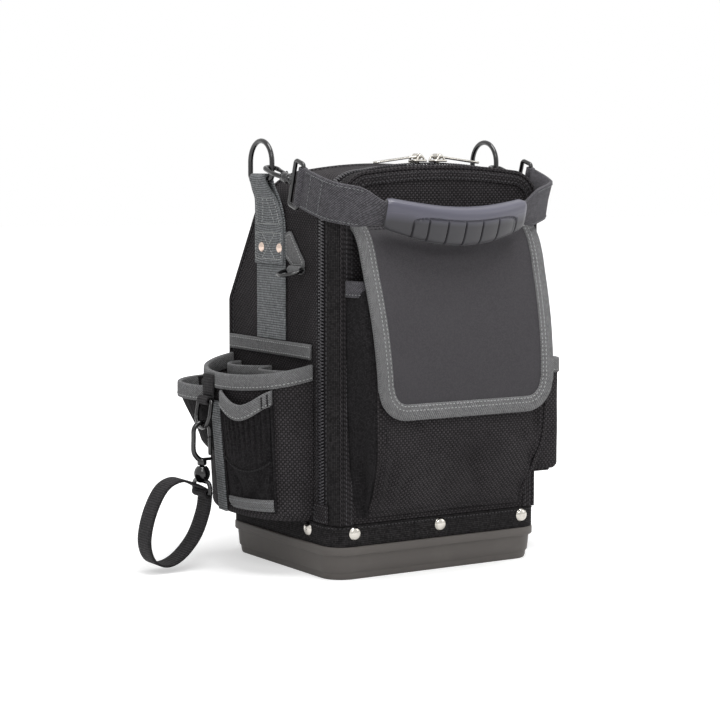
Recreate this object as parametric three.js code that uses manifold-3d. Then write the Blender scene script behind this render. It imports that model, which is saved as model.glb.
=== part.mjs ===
// A zippered tool bag: a sewn shell riveted to a moulded base, with a front panel that
// zips open, a flap pocket, side pouches, a carry handle on snap hooks and a tool thong.
// Millimetres, +Z up, front towards -Y. The origin is the centre of the base's underside.

import * as THREE from 'three';
import { mergeVertices } from 'three/addons/utils/BufferGeometryUtils.js';
import Module from 'manifold-3d';

const wasm = await Module();
wasm.setup();

// Driving dimensions

const GAP = 0.3; // between touching pieces
const LAP = 0.1; // how far two layers of one piece run into each other
const FAR = 400; // beyond every edge of the bag, for what cuts right through

const rim = { outX: 3, halfY: 97, radius: 24, top: 30.5, lip: 7.5 };
const foot = { insetX: 5.7, insetY: 7.5, tighten: 4, bead: 6, wall: 3.2, floor: 4 };
const band = { insetX: 1.7, insetY: 1.1, radius: 20, top: 50, thickness: 3.3 };
const upstand = { top: 47, thickness: 3 };

const body = { half: 113, top: 368, radius: 40, crown: 6, wall: 3.5, backInset: 4, knee: 242 };
const backLean = 0.6116; // mm forward for each mm up, above the knee
const face = { narrow: 5.5, rise: 0.2, radius: 29.5, crown: 4.7, inset: 1.5, thickness: 3 };
const bead = 2.2; // radius of the rolled seams

const zip = { behind: 21.3, width: 5, proud: 1.8, depth: 2, start: 67.3, slit: 0.2 };
const patch = { width: 24, thickness: 1.7 };
const slider = { length: 15, lift: 0.9, plate: 2.2, bridge: 4.5, leg: 2.4, fromCentre: 11, offset: 2.5 };
const pull = { length: 47, width: 9, thickness: 2, tilt: 7, pin: 1.3, eye: 1 };

const strap = { width: 50.8, thickness: 2, centre: 12, neck: 29, neckFrom: 306, fold: 278 };
const strapBend = [
  // distance outwards, height above where the strap starts to narrow
  [0.3, 16],
  [2.2, 30],
];
const sideBand = { bottom: 195, height: 14, thickness: 2.4, behindZip: 16.2 };
const tab = { front: -46.5, rear: -25.5, bottom: 277, top: 309, thickness: 1.8 };

const ring = { wire: 2.4, half: 19.5, centreZ: 370, drop: 14.5, standOff: 11.5, corner: 3.5 };
const smallRing = { wire: 1.6, depth: 17, drop: 3.6, tilt: -15 };

const handle = { droop: 17, webWidth: 36, web: 3, ahead: 43.5, narrow: 20, taperIn: 4, taperOut: 22 };
const handleBow = [
  // distance in from the ring, distance back from the grip's middle
  [2.8, 49],
  [11.8, 31],
  [44.8, 13.5],
  [84.8, 3],
];
const grip = { length: 150, shift: -4, depth: 9.5, endDepth: 6.8, endHeight: 13.5, midHeight: 17 };
const sag = { depth: 12, half: 110 };
const groove = { count: 7, pitch: 14, radius: 3, depth: 1.4 };
const hook = { wire: 2.1, half: 6.3, nose: 3.5, gate: 13.2, barrel: 4.5, barrelLength: 9, neck: 2.4 };
const hookLoop = { depth: 14, wire: 2, fold: 1.6, corner: 3, knuckle: 5.4 };

const pocket = { bottom: 56, wall: 2.4, corner: 7 };
const pocketSections = [
  // height, inset from the face's sides at the panel, the same in front, depth
  [266, 5.2, 7.5, 19.5],
  [230, 5.5, 9, 30],
  [190, 6, 10, 36],
  [150, 7, 10.5, 36.5],
  [115, 9, 12.5, 34],
  [85, 11.5, 17.5, 22],
  [56, 17.5, 23.5, 5],
];
const binding = { height: 13, thickness: 1.2 };
const flap = { inset: 10.5, tipInset: 15.5, corner: 27, thickness: 2.6, trim: 11, hingeAt: 0.21, wedge: 40 };
const flapLine = [
  // distance in front of the face, height
  [2, 316],
  [8.7, 311],
  [15.5, 301.5],
  [20.5, 289],
  [25.5, 272],
  [32, 250],
  [38.5, 222],
  [43, 190],
  [44, 165],
  [43.5, 147.5],
];

const pouch = { behindZip: 13.8, fromBack: 6, reach: 55, taper: 11, wall: 2.5, bottom: 50.3 };
const pouchMouth = { top: 190, dip: 11 };
const divider = { wall: 2, stand: 1.6, top: 184, bottom: 62, reach: 25, edge: 16 };
const elastic = { from: 0.5, to: 0.81, bulge: 9, foot: 3.4, wall: 1.8, bottom: 58, dip: 11 };
const corner = { from: 0.1, to: 0.375, bulge: 23, foot: 5, wall: 2, bottom: 106, dip: 0 };
const tape = { width: 18, thickness: 2, at: 0.45, bottom: 52, top: 155 };
const sidePocket = { behindZip: 7.7, length: 88.5, depth: 47.7, bottom: 78, top: 184, wall: 3, corner: 8 };

const thongTab = { width: 19, thickness: 2, top: 178, eye: 154, y: 31, stand: 0.9 };
const thongRing = { wire: 2, half: 12.5, height: 25, corner: 3, tilt: 9 };
const thongHook = { wire: 2.2, half: 8.5, nose: 5, gate: 15.6, stem: 4.2, pin: 2.2 };
const swivel = { radius: 7.5, height: 15, slot: 27, bar: 2, drop: 9 };
const thongWeb = { width: 25.4, thickness: 2.2 };
const thongLoop = [
  // distance inwards from the swivel's bar, height above it
  [0.5, -18],
  [-9, -40],
  [-25, -57],
  [-41, -63],
  [-54, -57],
  [-59, -40],
  [-54, -16],
  [-42, 6],
  [-27, 13.5],
  [-12, 9.5],
  [-2, 4.5],
];

const inner = { inset: 11.5, depth: 19, bottom: 52, top: 165, wall: 2.5, cells: 3 };
const rivet = { radius: 6, height: 3, shank: 2, tail: 3.6, tailHeight: 1.2 };
const rivetRow = { z: 42.5, fromEnd: 22.3, fromCorner: 42.9 };
const strapRivet = { radius: 4.6, height: 2.2, shank: 1.6, z: 293, shift: -4, spread: 16 };

// Sizes and places that follow from the others

const bodyFrom = band.top + GAP;
const bodySide = body.half + GAP;
const rimHalfX = body.half + rim.outX;
const bandHalfX = rimHalfX - band.insetX;
const bandHalfY = rim.halfY - band.insetY;
const bodyBack = rim.halfY - body.backInset;
const faceY = face.inset - rim.halfY;
const faceArch = { ...face, half: body.half - face.narrow, top: body.top + face.rise };
const zipY = faceY + zip.behind;
const gussetFrom = zipY + zip.width + GAP + zip.slit;
const doorFrom = zipY - zip.width - GAP - zip.slit;
const pouchFront = zipY + pouch.behindZip;
const pouchBack = bodyBack - pouch.fromBack;
const pouchHalf = (pouchBack - pouchFront) / 2;
const ringX = bodySide + ring.standOff;
const ringBarZ = ring.centreZ - ring.drop;
const innerHalf = body.half - body.wall - inner.inset;

// Finishes

const finish = (color, roughness, metalness = 0) =>
  new THREE.MeshStandardMaterial({ color, roughness, metalness });
const blackNylon = finish(0x2a2829, 0.9);
const blackWebbing = finish(0x1d1c1e, 0.85);
const greyWebbing = finish(0x5c6063, 0.85);
const flapFabric = finish(0x4b494d, 0.6);
const gripRubber = finish(0x4a484f, 0.55);
const baseMoulding = finish(0x5f5d5b, 0.6);
const zipCoil = finish(0x161517, 0.35);
const nickel = finish(0xb9b5af, 0.25, 1);
const blackMetal = finish(0x151517, 0.3, 0.6);

// Meshes from rings of points

const vec = (x, y, z) => new THREE.Vector3(x, y, z);
const mix = (a, b, t) => a + (b - a) * t;
const steps = (count) => Array.from({ length: count + 1 }, (_, i) => i / count);

function signedVolume(points, index) {
  let volume = 0;
  for (let i = 0; i < index.length; i += 3) {
    const [a, b, c] = [points[index[i]], points[index[i + 1]], points[index[i + 2]]];
    volume += a.dot(b.clone().cross(c)) / 6;
  }
  return volume;
}

// Triangles that close one ring, in its own plane, with its edges running forwards.
function capTriangles(points) {
  const normal = vec(0, 0, 0);
  points.forEach((p, i) => {
    const q = points[(i + 1) % points.length];
    normal.add(p.clone().cross(q));
  });
  normal.normalize();
  const u = (Math.abs(normal.z) < 0.9 ? vec(0, 0, 1) : vec(1, 0, 0)).cross(normal).normalize();
  const v = normal.clone().cross(u);
  const flat = points.map((p) => new THREE.Vector2(p.dot(u), p.dot(v)));
  const triangles = THREE.ShapeUtils.triangulateShape(flat, []);
  const [a, b, c] = triangles[0].map((i) => flat[i]);
  const forwards = (b.x - a.x) * (c.y - a.y) - (b.y - a.y) * (c.x - a.x) > 0;
  return forwards ? triangles : triangles.map(([i, j, k]) => [i, k, j]);
}

// A closed body through rings of equal count; a closed loft joins its last ring to its first.
function loft(rings, closed = false) {
  const count = rings[0].length;
  const points = rings.flat();
  const index = [];
  const spans = closed ? rings.length : rings.length - 1;
  for (let i = 0; i < spans; i++) {
    const a = i * count;
    const b = ((i + 1) % rings.length) * count;
    for (let j = 0; j < count; j++) {
      const k = (j + 1) % count;
      index.push(a + j, b + j, b + k, a + j, b + k, a + k);
    }
  }
  if (!closed) {
    const last = (rings.length - 1) * count;
    capTriangles(rings[0]).forEach(([i, j, k]) => index.push(i, j, k));
    capTriangles(rings.at(-1)).forEach(([i, j, k]) => index.push(last + i, last + k, last + j));
  }
  if (signedVolume(points, index) < 0) {
    for (let i = 0; i < index.length; i += 3) [index[i + 1], index[i + 2]] = [index[i + 2], index[i + 1]];
  }
  const geometry = new THREE.BufferGeometry();
  geometry.setAttribute('position', new THREE.Float32BufferAttribute(points.flatMap((p) => p.toArray()), 3));
  geometry.setIndex(index);
  return geometry;
}

function solid(geometry) {
  const bare = geometry.clone();
  bare.deleteAttribute('normal');
  bare.deleteAttribute('uv');
  const merged = mergeVertices(bare, 1e-4);
  return new wasm.Manifold(new wasm.Mesh({
    numProp: 3,
    vertProperties: new Float32Array(merged.attributes.position.array),
    triVerts: new Uint32Array(merged.index.array),
  }));
}

function toGeometry(piece) {
  const mesh = piece.getMesh();
  const geometry = new THREE.BufferGeometry();
  geometry.setAttribute('position', new THREE.Float32BufferAttribute(mesh.vertProperties, 3));
  geometry.setIndex(Array.from(mesh.triVerts));
  return geometry;
}

// Prisms of a flat outline, along each axis
const alongY = (outline, from, to) => loft([from, to].map((y) => outline.map(([x, z]) => vec(x, y, z))));
const alongX = (outline, from, to) => loft([from, to].map((x) => outline.map(([y, z]) => vec(x, y, z))));
const alongZ = (outline, from, to) => loft([from, to].map((z) => outline.map(([x, y]) => vec(x, y, z))));

// A round wire along a flat path, whose plane has the given normal.
function wire(path, radius, normal, { closed = false, sides = 7 } = {}) {
  const rings = path.map((p, i) => {
    const before = closed ? path.at(i - 1) : path[Math.max(i - 1, 0)];
    const after = closed ? path[(i + 1) % path.length] : path[Math.min(i + 1, path.length - 1)];
    const side = after.clone().sub(before).normalize().cross(normal);
    return steps(sides).slice(0, sides).map((t) => {
      const angle = 2 * Math.PI * t;
      const across = p.clone().addScaledVector(side, radius * Math.cos(angle));
      return across.addScaledVector(normal, radius * Math.sin(angle));
    });
  });
  return loft(rings, closed);
}

// Cylinders whose axis lies along Z, and along Y
const cylinder = (radius, length, segments = 16) =>
  new THREE.CylinderGeometry(radius, radius, length, segments).rotateX(Math.PI / 2);
const cylinderY = (radius, length, segments = 16) =>
  new THREE.CylinderGeometry(radius, radius, length, segments);
const box = (x0, x1, y0, y1, z0, z1) =>
  new THREE.BoxGeometry(x1 - x0, y1 - y0, z1 - z0).translate((x0 + x1) / 2, (y0 + y1) / 2, (z0 + z1) / 2);

// An open path moved sideways by a distance, each point along its own normal.
function beside(path, distance) {
  return path.map(([x, y], i) => {
    const [ax, ay] = path[Math.max(i - 1, 0)];
    const [bx, by] = path[Math.min(i + 1, path.length - 1)];
    const length = Math.hypot(bx - ax, by - ay);
    return [x - ((by - ay) / length) * distance, y + ((bx - ax) / length) * distance];
  });
}

const ribbon = (path, thickness) => [
  ...beside(path, thickness / 2),
  ...beside(path, -thickness / 2).reverse(),
];

function arc(cx, cy, radius, fromDegrees, toDegrees, count) {
  return steps(count).map((t) => {
    const angle = THREE.MathUtils.degToRad(mix(fromDegrees, toDegrees, t));
    return [cx + radius * Math.cos(angle), cy + radius * Math.sin(angle)];
  });
}

function roundedRectangle(halfX, halfY, radius, count = 5) {
  const [cx, cy] = [halfX - radius, halfY - radius];
  return [
    ...arc(cx, cy, radius, 0, 90, count),
    ...arc(-cx, cy, radius, 90, 180, count),
    ...arc(-cx, -cy, radius, 180, 270, count),
    ...arc(cx, -cy, radius, 270, 360, count),
  ];
}

// The bag's arch seen from the front: straight sides, round shoulders and a crowned top.
function archPath({ half, top, radius, crown }, inset, bottom) {
  const [h, t, r] = [half - inset, top - inset, radius - inset];
  const shoulder = h - r;
  const crownHalf = steps(4).slice(1).map((s) => {
    const x = shoulder * (1 - s);
    return [x, t - crown * (x / shoulder) ** 2];
  });
  const right = [[h, bottom], ...arc(shoulder, t - crown - r, r, 0, 90, 5), ...crownHalf];
  const left = right.slice(0, -1).reverse().map(([x, z]) => [-x, z]);
  return [...right, ...left];
}

// A flat strip that follows a path, between two distances from it, as wide as spanAt says.
function strip(path, [near, far], spanAt, place) {
  const [inside, outside] = [beside(path, near), beside(path, far)];
  return loft(path.map((_, i) => {
    const [low, high] = spanAt(i / (path.length - 1), path[i]);
    return [
      place(...inside[i], low), place(...inside[i], high),
      place(...outside[i], high), place(...outside[i], low),
    ];
  }));
}

// A flat path through a few points, smoothed and evenly divided
function smooth(points, count) {
  const curve = new THREE.CatmullRomCurve3(points.map(([a, b]) => vec(a, b, 0)), false, 'centripetal');
  return curve.getSpacedPoints(count).map((p) => [p.x, p.y]);
}

const asSolid = (piece) => (piece.isBufferGeometry ? solid(piece) : piece);
const union = (...pieces) => pieces.map(asSolid).reduce((a, b) => a.add(b));
const minus = (piece, ...cuts) => cuts.reduce((left, cut) => left.subtract(asSolid(cut)), piece);

// The body

const backAt = (z) => bodyBack - Math.max(z - body.knee, 0) * backLean;

// How far the moulded base is drawn in from its rim, at each height.
const baseProfile = [
  [0, 1],
  [3, 0.86],
  [foot.bead, 0.8],
  [foot.bead + 1.5, 0.58],
  [rim.top - rim.lip - 0.5, 0.38],
  [rim.top - rim.lip, 0.04],
  [rim.top - rim.lip + 1, 0],
  [rim.top - 1, 0],
  [rim.top, 0.1],
];

const rivetX = bandHalfX - rivetRow.fromEnd;
const rivetPlaces = [
  ...[['left', -1], ['centre', 0], ['right', 1]].flatMap(([name, i]) => [
    { name: `rivet_front_${name}`, point: [i * rivetX, -bandHalfY], outward: [0, -1] },
    { name: `rivet_back_${name}`, point: [i * rivetX, bandHalfY], outward: [0, 1] },
  ]),
  ...[['left', -1], ['right', 1]].map(([name, i]) => (
    { name: `rivet_side_${name}`, point: [i * bandHalfX, rivetRow.fromCorner - bandHalfY], outward: [i, 0] }
  )),
];

function turnOut(geometry, { point, outward }, z) {
  const turn = new THREE.Quaternion().setFromUnitVectors(vec(0, 0, 1), vec(...outward, 0));
  return geometry.applyQuaternion(turn).translate(...point, z);
}

const rivetHoles = rivetPlaces.map((place) => {
  const hole = cylinder(rivet.shank + GAP, 4 * (band.thickness + upstand.thickness), 12);
  return turnOut(hole, place, rivetRow.z);
});

function baseTray() {
  const outer = loft(baseProfile.map(([z, inset]) => {
    const [halfX, halfY] = [rimHalfX - foot.insetX * inset, rim.halfY - foot.insetY * inset];
    return roundedRectangle(halfX, halfY, rim.radius - foot.tighten * inset).map(([x, y]) => vec(x, y, z));
  }));
  const wall = band.thickness + GAP;
  const [wallX, wallY, wallRadius] = [bandHalfX - wall, bandHalfY - wall, band.radius - wall];
  const collar = alongZ(roundedRectangle(wallX, wallY, wallRadius), rim.top - 2, upstand.top);
  const narrow = [rimHalfX - foot.insetX - foot.wall, rim.halfY - foot.insetY - foot.wall];
  const wide = [wallX - upstand.thickness, wallY - upstand.thickness];
  const levels = [[narrow, foot.floor], [wide, rim.top - rim.lip], [wide, upstand.top + 1]];
  const hollow = loft(levels.map(([half, z]) =>
    roundedRectangle(...half, wallRadius - upstand.thickness).map(([x, y]) => vec(x, y, z))));
  return toGeometry(minus(union(outer, collar), hollow, ...rivetHoles));
}

function lowerBand() {
  const outer = alongZ(roundedRectangle(bandHalfX, bandHalfY, band.radius), rim.top + GAP, band.top);
  const [halfX, halfY, radius] = [bandHalfX, bandHalfY, band.radius].map((size) => size - band.thickness);
  const hollow = alongZ(roundedRectangle(halfX, halfY, radius), rim.top - 1, band.top + 1);
  return toGeometry(minus(solid(outer), hollow, ...rivetHoles));
}

// Heights are measured outwards from the band's face.
function baseRivet(place) {
  const tailTop = -(band.thickness + upstand.thickness + 2 * GAP);
  const dome = steps(3).map((t) => {
    const angle = (Math.PI / 2) * t;
    return [t === 1 ? 0 : rivet.radius * Math.cos(angle), GAP + rivet.height * Math.sin(angle)];
  });
  const profile = [
    [0, tailTop - rivet.tailHeight], [rivet.tail, tailTop - rivet.tailHeight], [rivet.tail, tailTop],
    [rivet.shank, tailTop], [rivet.shank, GAP], ...dome,
  ].map(([r, h]) => new THREE.Vector2(r, h));
  return turnOut(new THREE.LatheGeometry(profile, 10).rotateX(Math.PI / 2), place, rivetRow.z);
}

// Everything in front of the leaning back, less an inset, to cut the arch with.
function frontOfBack(inset) {
  const top = body.top + 10;
  const lean = inset * Math.hypot(1, backLean);
  return alongX([
    [-FAR, bodyFrom - 10],
    [bodyBack - inset, bodyFrom - 10],
    [bodyBack - inset, body.knee - (lean - inset) / backLean],
    [backAt(top) - lean, top],
    [-FAR, top],
  ], -FAR, FAR);
}

// A rolled seam along the arch, whose depth follows a function of height
function seamAlong(arch, inset, from, depthAt, knee = []) {
  const outline = archPath(arch, inset, from);
  const bend = (i) => knee.map((z) => [outline.at(i)[0], z]);
  const path = [outline[0], ...bend(0), ...outline.slice(1, -1), ...bend(-1), outline.at(-1)]
    .map(([x, z]) => vec(x, depthAt(z), z));
  const sides = 8;
  return loft(path.map((p, i) => {
    const tangent = path[Math.min(i + 1, path.length - 1)].clone().sub(path[Math.max(i - 1, 0)]).normalize();
    if (i === 0 || i === path.length - 1) tangent.set(0, 0, i === 0 ? 1 : -1);
    const side = vec(0, 1, 0).cross(tangent).normalize();
    const up = tangent.clone().cross(side);
    return steps(sides).slice(0, sides).map((t) => {
      const angle = 2 * Math.PI * t;
      const across = p.clone().addScaledVector(side, bead * Math.cos(angle));
      return across.addScaledVector(up, bead * Math.sin(angle));
    });
  }));
}

function bodyGusset() {
  const outer = alongY(archPath(body, 0, bodyFrom), gussetFrom, bodyBack + 5);
  const inside = alongY(archPath(body, body.wall, bodyFrom - 5), gussetFrom - 5, bodyBack + 10);
  const shell = minus(solid(outer), inside).intersect(solid(frontOfBack(0)));
  const seam = seamAlong(body, 0.8, bodyFrom, (z) => backAt(z) - 1.5, [body.knee]);
  return toGeometry(shell.add(solid(seam)));
}

function backPanel() {
  const outline = alongY(archPath(body, body.wall + GAP, bodyFrom), -FAR, bodyBack + 5);
  return toGeometry(minus(solid(outline).intersect(solid(frontOfBack(0))), frontOfBack(body.wall)));
}

function innerPocket() {
  const back = bodyBack - body.wall - GAP;
  const outside = box(-innerHalf, innerHalf, back - inner.depth, back, inner.bottom, inner.top);
  const pitch = (2 * innerHalf - inner.wall) / inner.cells;
  const cells = steps(inner.cells).slice(0, inner.cells).map((_, i) => {
    const from = -innerHalf + inner.wall + i * pitch;
    const [front, rear] = [back - inner.depth + inner.wall, back - inner.wall];
    return box(from, from + pitch - inner.wall, front, rear, inner.bottom + inner.wall, inner.top + 1);
  });
  return toGeometry(minus(solid(outside), ...cells));
}

// The door: everything in front of the zip, which folds down on its lower edge

function faceRing(t, inset, from, y) {
  const outer = archPath(body, inset, from);
  const front = archPath(faceArch, inset, from);
  return outer.map(([x, z], i) => vec(mix(x, front[i][0], t), y, mix(z, front[i][1], t)));
}

function frontGusset() {
  const depth = doorFrom - (faceY + GAP);
  const rounding = [[0, 0], [0.4, 0.11], [0.72, 0.42], [0.92, 0.77], [1, 1]];
  const outer = loft(rounding.map(([along, t]) => faceRing(t, 0, bodyFrom, doorFrom - depth * along)));
  const inside = loft([[-0.5, 0], [0, 0], ...rounding.slice(1), [1.5, 1]].map(([along, t]) =>
    faceRing(t, face.thickness, bodyFrom - 5, doorFrom - depth * along)));
  const piping = seamAlong(faceArch, bead, bodyFrom, () => faceY + 0.9);
  const cut = alongY(archPath(faceArch, 2 * bead + GAP - 0.1, bodyFrom - 5), faceY - 5, faceY + 10);
  return toGeometry(minus(union(outer, piping), inside, cut));
}

const panelInset = 2 * bead + 2 * GAP;
const frontPanel = () => alongY(archPath(faceArch, panelInset, bodyFrom), faceY, faceY + face.thickness);

function zipHalf(from, to) {
  const outer = alongY(archPath(body, -zip.proud, zip.start), from, to);
  const inside = alongY(archPath(body, zip.depth, zip.start - 5), from - 5, to + 5);
  return minus(solid(outer), inside);
}

// The rear half carries the two patches that cover the zip's lower ends.
function rearChain() {
  const patches = [-1, 1].map((side) => {
    const [near, far] = [bodySide, bodySide + patch.thickness].map((x) => side * x);
    const [x0, x1] = [Math.min(near, far), Math.max(near, far)];
    return box(x0, x1, zipY - patch.width / 2, zipY + patch.width / 2, bodyFrom, zip.start + 0.4);
  });
  const feet = [-1, 1].map((side) => {
    const [near, far] = [body.half - zip.depth, body.half + zip.proud].map((x) => side * x);
    const [x0, x1] = [Math.min(near, far), Math.max(near, far)];
    return box(x0, x1, zipY + zip.slit, zipY + zip.width, zip.start - 1, zip.start + 1);
  });
  return toGeometry(union(zipHalf(zipY + zip.slit, zipY + zip.width), ...feet, ...patches));
}

const frontChain = () => toGeometry(zipHalf(zipY - zip.width, zipY - zip.slit)
  .subtract(solid(box(-FAR, FAR, -FAR, zipY, 0, zip.start + 0.8))));

// The front pocket bellies out between its sections.
function pocketRings(grow, { low, high, open = 0 }) {
  const at = (z) => {
    const sections = pocketSections;
    const i = Math.max(1, sections.findIndex(([height]) => height <= z));
    const j = i < 1 ? sections.length - 1 : i;
    const [upper, lower] = [sections[j - 1], sections[j]];
    const t = (z - lower[0]) / (upper[0] - lower[0]);
    return lower.map((value, k) => mix(value, upper[k], t));
  };
  const between = pocketSections.map(([z]) => z).filter((z) => z > low + 1 && z < high - 1).reverse();
  return [low, ...between, high].map((z) => {
    const [, backInset, frontInset, depth] = at(z);
    const [b, f] = [backInset, frontInset].map((inset) => faceArch.half - inset + grow);
    const d = depth + grow;
    const y = faceY - GAP;
    const r = Math.min(pocket.corner, d * 0.6);
    const right = [[b, y + open], ...arc(f - r, y - d + r, r, 0, -90, 4)];
    const left = [...right].reverse().map(([x, v]) => [-x, v]);
    return [...right, ...left].map(([x, v]) => vec(x, v, z));
  });
}

const pocketTop = pocketSections[0][0];
const pocketCavity = (low) => loft(pocketRings(-pocket.wall, { low, high: pocketTop + 10, open: 5 }));

function frontPocket() {
  const outer = loft(pocketRings(0, { low: pocket.bottom, high: pocketTop }));
  return toGeometry(minus(solid(outer), pocketCavity(pocket.bottom + pocket.wall + 4)));
}

function frontPocketBinding() {
  const [low, high] = [pocketTop - binding.height, pocketTop + GAP + binding.thickness];
  const outer = loft(pocketRings(GAP + binding.thickness, { low, high }));
  const pocketSpace = loft(pocketRings(GAP, { low: low - 5, high: pocketTop + GAP }));
  const half = faceArch.half - pocketSections[0][1];
  const ahead = solid(box(-half, half, -FAR, faceY - GAP, 0, FAR));
  return toGeometry(minus(solid(outer), pocketSpace, pocketCavity(low - 10)).intersect(ahead));
}

// The flap's sheet, from where it is sewn down to its lower edge, as (y, z)
const flapSpans = 19;
const flapPath = smooth(flapLine.map(([out, z]) => [faceY - out, z]), flapSpans);
const hingeIndex = Math.round(flap.hingeAt * flapSpans);
const [flapWide, flapTip] = [flap.inset, flap.tipInset].map((inset) => faceArch.half - inset);
const flapPlace = (y, z, x) => vec(x, y, z);

const flapEdge = 0.2; // where the rounding of the flap's corners begins

// Half the flap's width at a height, with its lower corners rounded
function flapHalf(z, inset = 0) {
  const bottom = flapPath.at(-1)[1] + inset;
  const top = flapPath[hingeIndex][1];
  const down = THREE.MathUtils.clamp((top - z) / (top - bottom), 0, 1);
  const half = mix(flapWide, flapTip, down) - inset;
  const r = flap.corner - inset;
  const up = Math.max(z - bottom, flapEdge);
  return up < r ? half - r + Math.sqrt(r * r - (r - up) ** 2) : half;
}

// The lower sheet, with short steps round the corners
function lowerSheet(grow, inset = 0) {
  const hang = flapPath.slice(hingeIndex);
  const [endY, endZ] = hang.at(-1);
  const rounding = steps(6).map((t) => (flap.corner - inset) * (1 - Math.cos(t * Math.PI / 2)));
  const fine = [...(grow > 0 ? [-grow] : []), ...rounding].map((up) => inset + flapEdge + up);
  const bottom = fine.map((up) => {
    const z = endZ + up;
    const k = hang.findIndex(([, zz]) => zz < z);
    const [a, b] = [hang[k < 1 ? hang.length - 2 : k - 1], hang[k < 1 ? hang.length - 1 : k]];
    return [mix(b[0], a[0], (z - b[1]) / (a[1] - b[1])), z];
  }).reverse();
  const upper = hang.filter(([, z]) => z > bottom[0][1] + 2);
  return [...upper, ...bottom];
}

const sewnPart = () => {
  const path = flapPath.slice(0, hingeIndex + 1);
  return strip(path, [0, flap.thickness], () => [-flapWide, flapWide], flapPlace);
};

function flapBody() {
  const span = (_, [, z]) => [-flapHalf(z), flapHalf(z)];
  const sheet = strip(lowerSheet(0), [0, flap.thickness], span, flapPlace);
  return toGeometry(minus(solid(sheet), hingeGap(-GAP / 2)));
}

// A wedge that keeps the sewn part and the flap apart at the hinge
function hingeGap(side) {
  const [a, b] = [flapPath[hingeIndex], flapPath[hingeIndex + 1]];
  const length = Math.hypot(b[0] - a[0], b[1] - a[1]);
  const [dy, dz] = [(b[0] - a[0]) / length, (b[1] - a[1]) / length];
  const [from, to] = [-side, -side + Math.sign(side) * flap.wedge];
  const corners = [[from, -flap.wedge], [from, flap.wedge], [to, flap.wedge], [to, -flap.wedge]];
  return alongX(corners.map(([u, v]) => [a[0] + dy * u - dz * v, a[1] + dz * u + dy * v]), -FAR, FAR);
}

function flapBinding() {
  const skin = GAP + binding.thickness;
  const wide = (grow, inset) => strip(lowerSheet(grow, inset), [-grow, flap.thickness + grow],
    (_, [, z]) => [-flapHalf(z, inset) - grow, flapHalf(z, inset) + grow], flapPlace);
  const low = wide(skin, 0);
  const sheet = wide(GAP + 0.2, 0);
  const trimmed = (_, [, z]) => [-flapHalf(z, flap.trim), flapHalf(z, flap.trim)];
  const window = strip(lowerSheet(0, flap.trim), [-20, 20], trimmed, flapPlace);
  const above = box(-FAR, FAR, -FAR, 0, flapPath[hingeIndex][1] - 3, FAR);
  return toGeometry(minus(solid(low), sheet, window, above));
}

// Side straps

const strapEye = ring.wire + GAP + strap.thickness;

function sideStrap(side) {
  const [x, t] = [bodySide + strap.thickness / 2, strap.thickness / 2];
  const foldAt = sideBand.bottom + sideBand.height + GAP;
  const neckTop = [ringX - strapEye + t, ringBarZ];
  const path = [
    [x, foldAt],
    [x, strap.neckFrom],
    ...strapBend.map(([out, up]) => [x + out, strap.neckFrom + up]),
    neckTop,
  ];
  const span = (_, [, z]) => {
    const up = THREE.MathUtils.clamp((z - strap.neckFrom) / (ringBarZ - strap.neckFrom), 0, 1);
    const half = mix(strap.width, strap.neck, up) / 2;
    return [strap.centre - half, strap.centre + half];
  };
  const place = (px, pz, y) => vec(side * px, y, pz);
  const flat = strip(path, [-t, t], span, place);
  const over = 2 * t - LAP;
  const doubled = [[x + over, strap.fold], ...path.slice(1).map(([px, pz]) => [px + over, pz])];
  const meeting = [ringX - 1, ringBarZ - strapEye + t];
  const fold = strip([...doubled.slice(0, -1), meeting], [-t, t], span, place);
  const atRing = (geometry) => geometry.translate(side * ringX, strap.centre, ringBarZ);
  const eye = atRing(cylinderY(strapEye, strap.neck, 20));
  const bore = atRing(cylinderY(ring.wire + GAP, strap.neck + 5, 20));
  const holes = strapRivetPlaces(side).map(({ y }) => {
    const hole = cylinder(strapRivet.shank + GAP, 8 * strap.thickness, 10).rotateY(Math.PI / 2);
    return hole.translate(side * bodySide, y, strapRivet.z);
  });
  return toGeometry(minus(union(flat, fold, eye), bore, ...holes));
}

const strapRivetPlaces = (side) => [['front', -1], ['rear', 1]].map(([name, i]) => ({
  name: `rivet_strap_${side < 0 ? 'left' : 'right'}_${name}`,
  y: strap.centre + strapRivet.shift + i * strapRivet.spread,
}));

function strapRivetShape(side, y) {
  const seat = 2 * strap.thickness - LAP + GAP;
  const profile = [
    [0, 0.1],
    [strapRivet.shank, 0.1],
    [strapRivet.shank, seat],
    [strapRivet.radius, seat],
    [strapRivet.radius * 0.8, seat + strapRivet.height * 0.6],
    [0, seat + strapRivet.height],
  ].map(([r, h]) => new THREE.Vector2(r, h));
  const shape = new THREE.LatheGeometry(profile, 14).rotateZ(-Math.PI / 2);
  if (side < 0) shape.rotateY(Math.PI);
  return shape.translate(side * bodySide, y, strapRivet.z);
}

function bandStrip(side) {
  const [near, far] = [side * bodySide, side * (bodySide + sideBand.thickness)];
  const [front, rear] = [zipY + sideBand.behindZip, bodyBack - 1.5 - bead - GAP];
  const top = sideBand.bottom + sideBand.height;
  return box(Math.min(near, far), Math.max(near, far), front, rear, sideBand.bottom, top);
}

// The tab for the small ring, sewn beside the left strap's front edge
const smallBar = {
  x: -(bodySide + smallRing.wire + GAP + tab.thickness),
  z: tab.bottom - smallRing.drop + 1,
};

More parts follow.
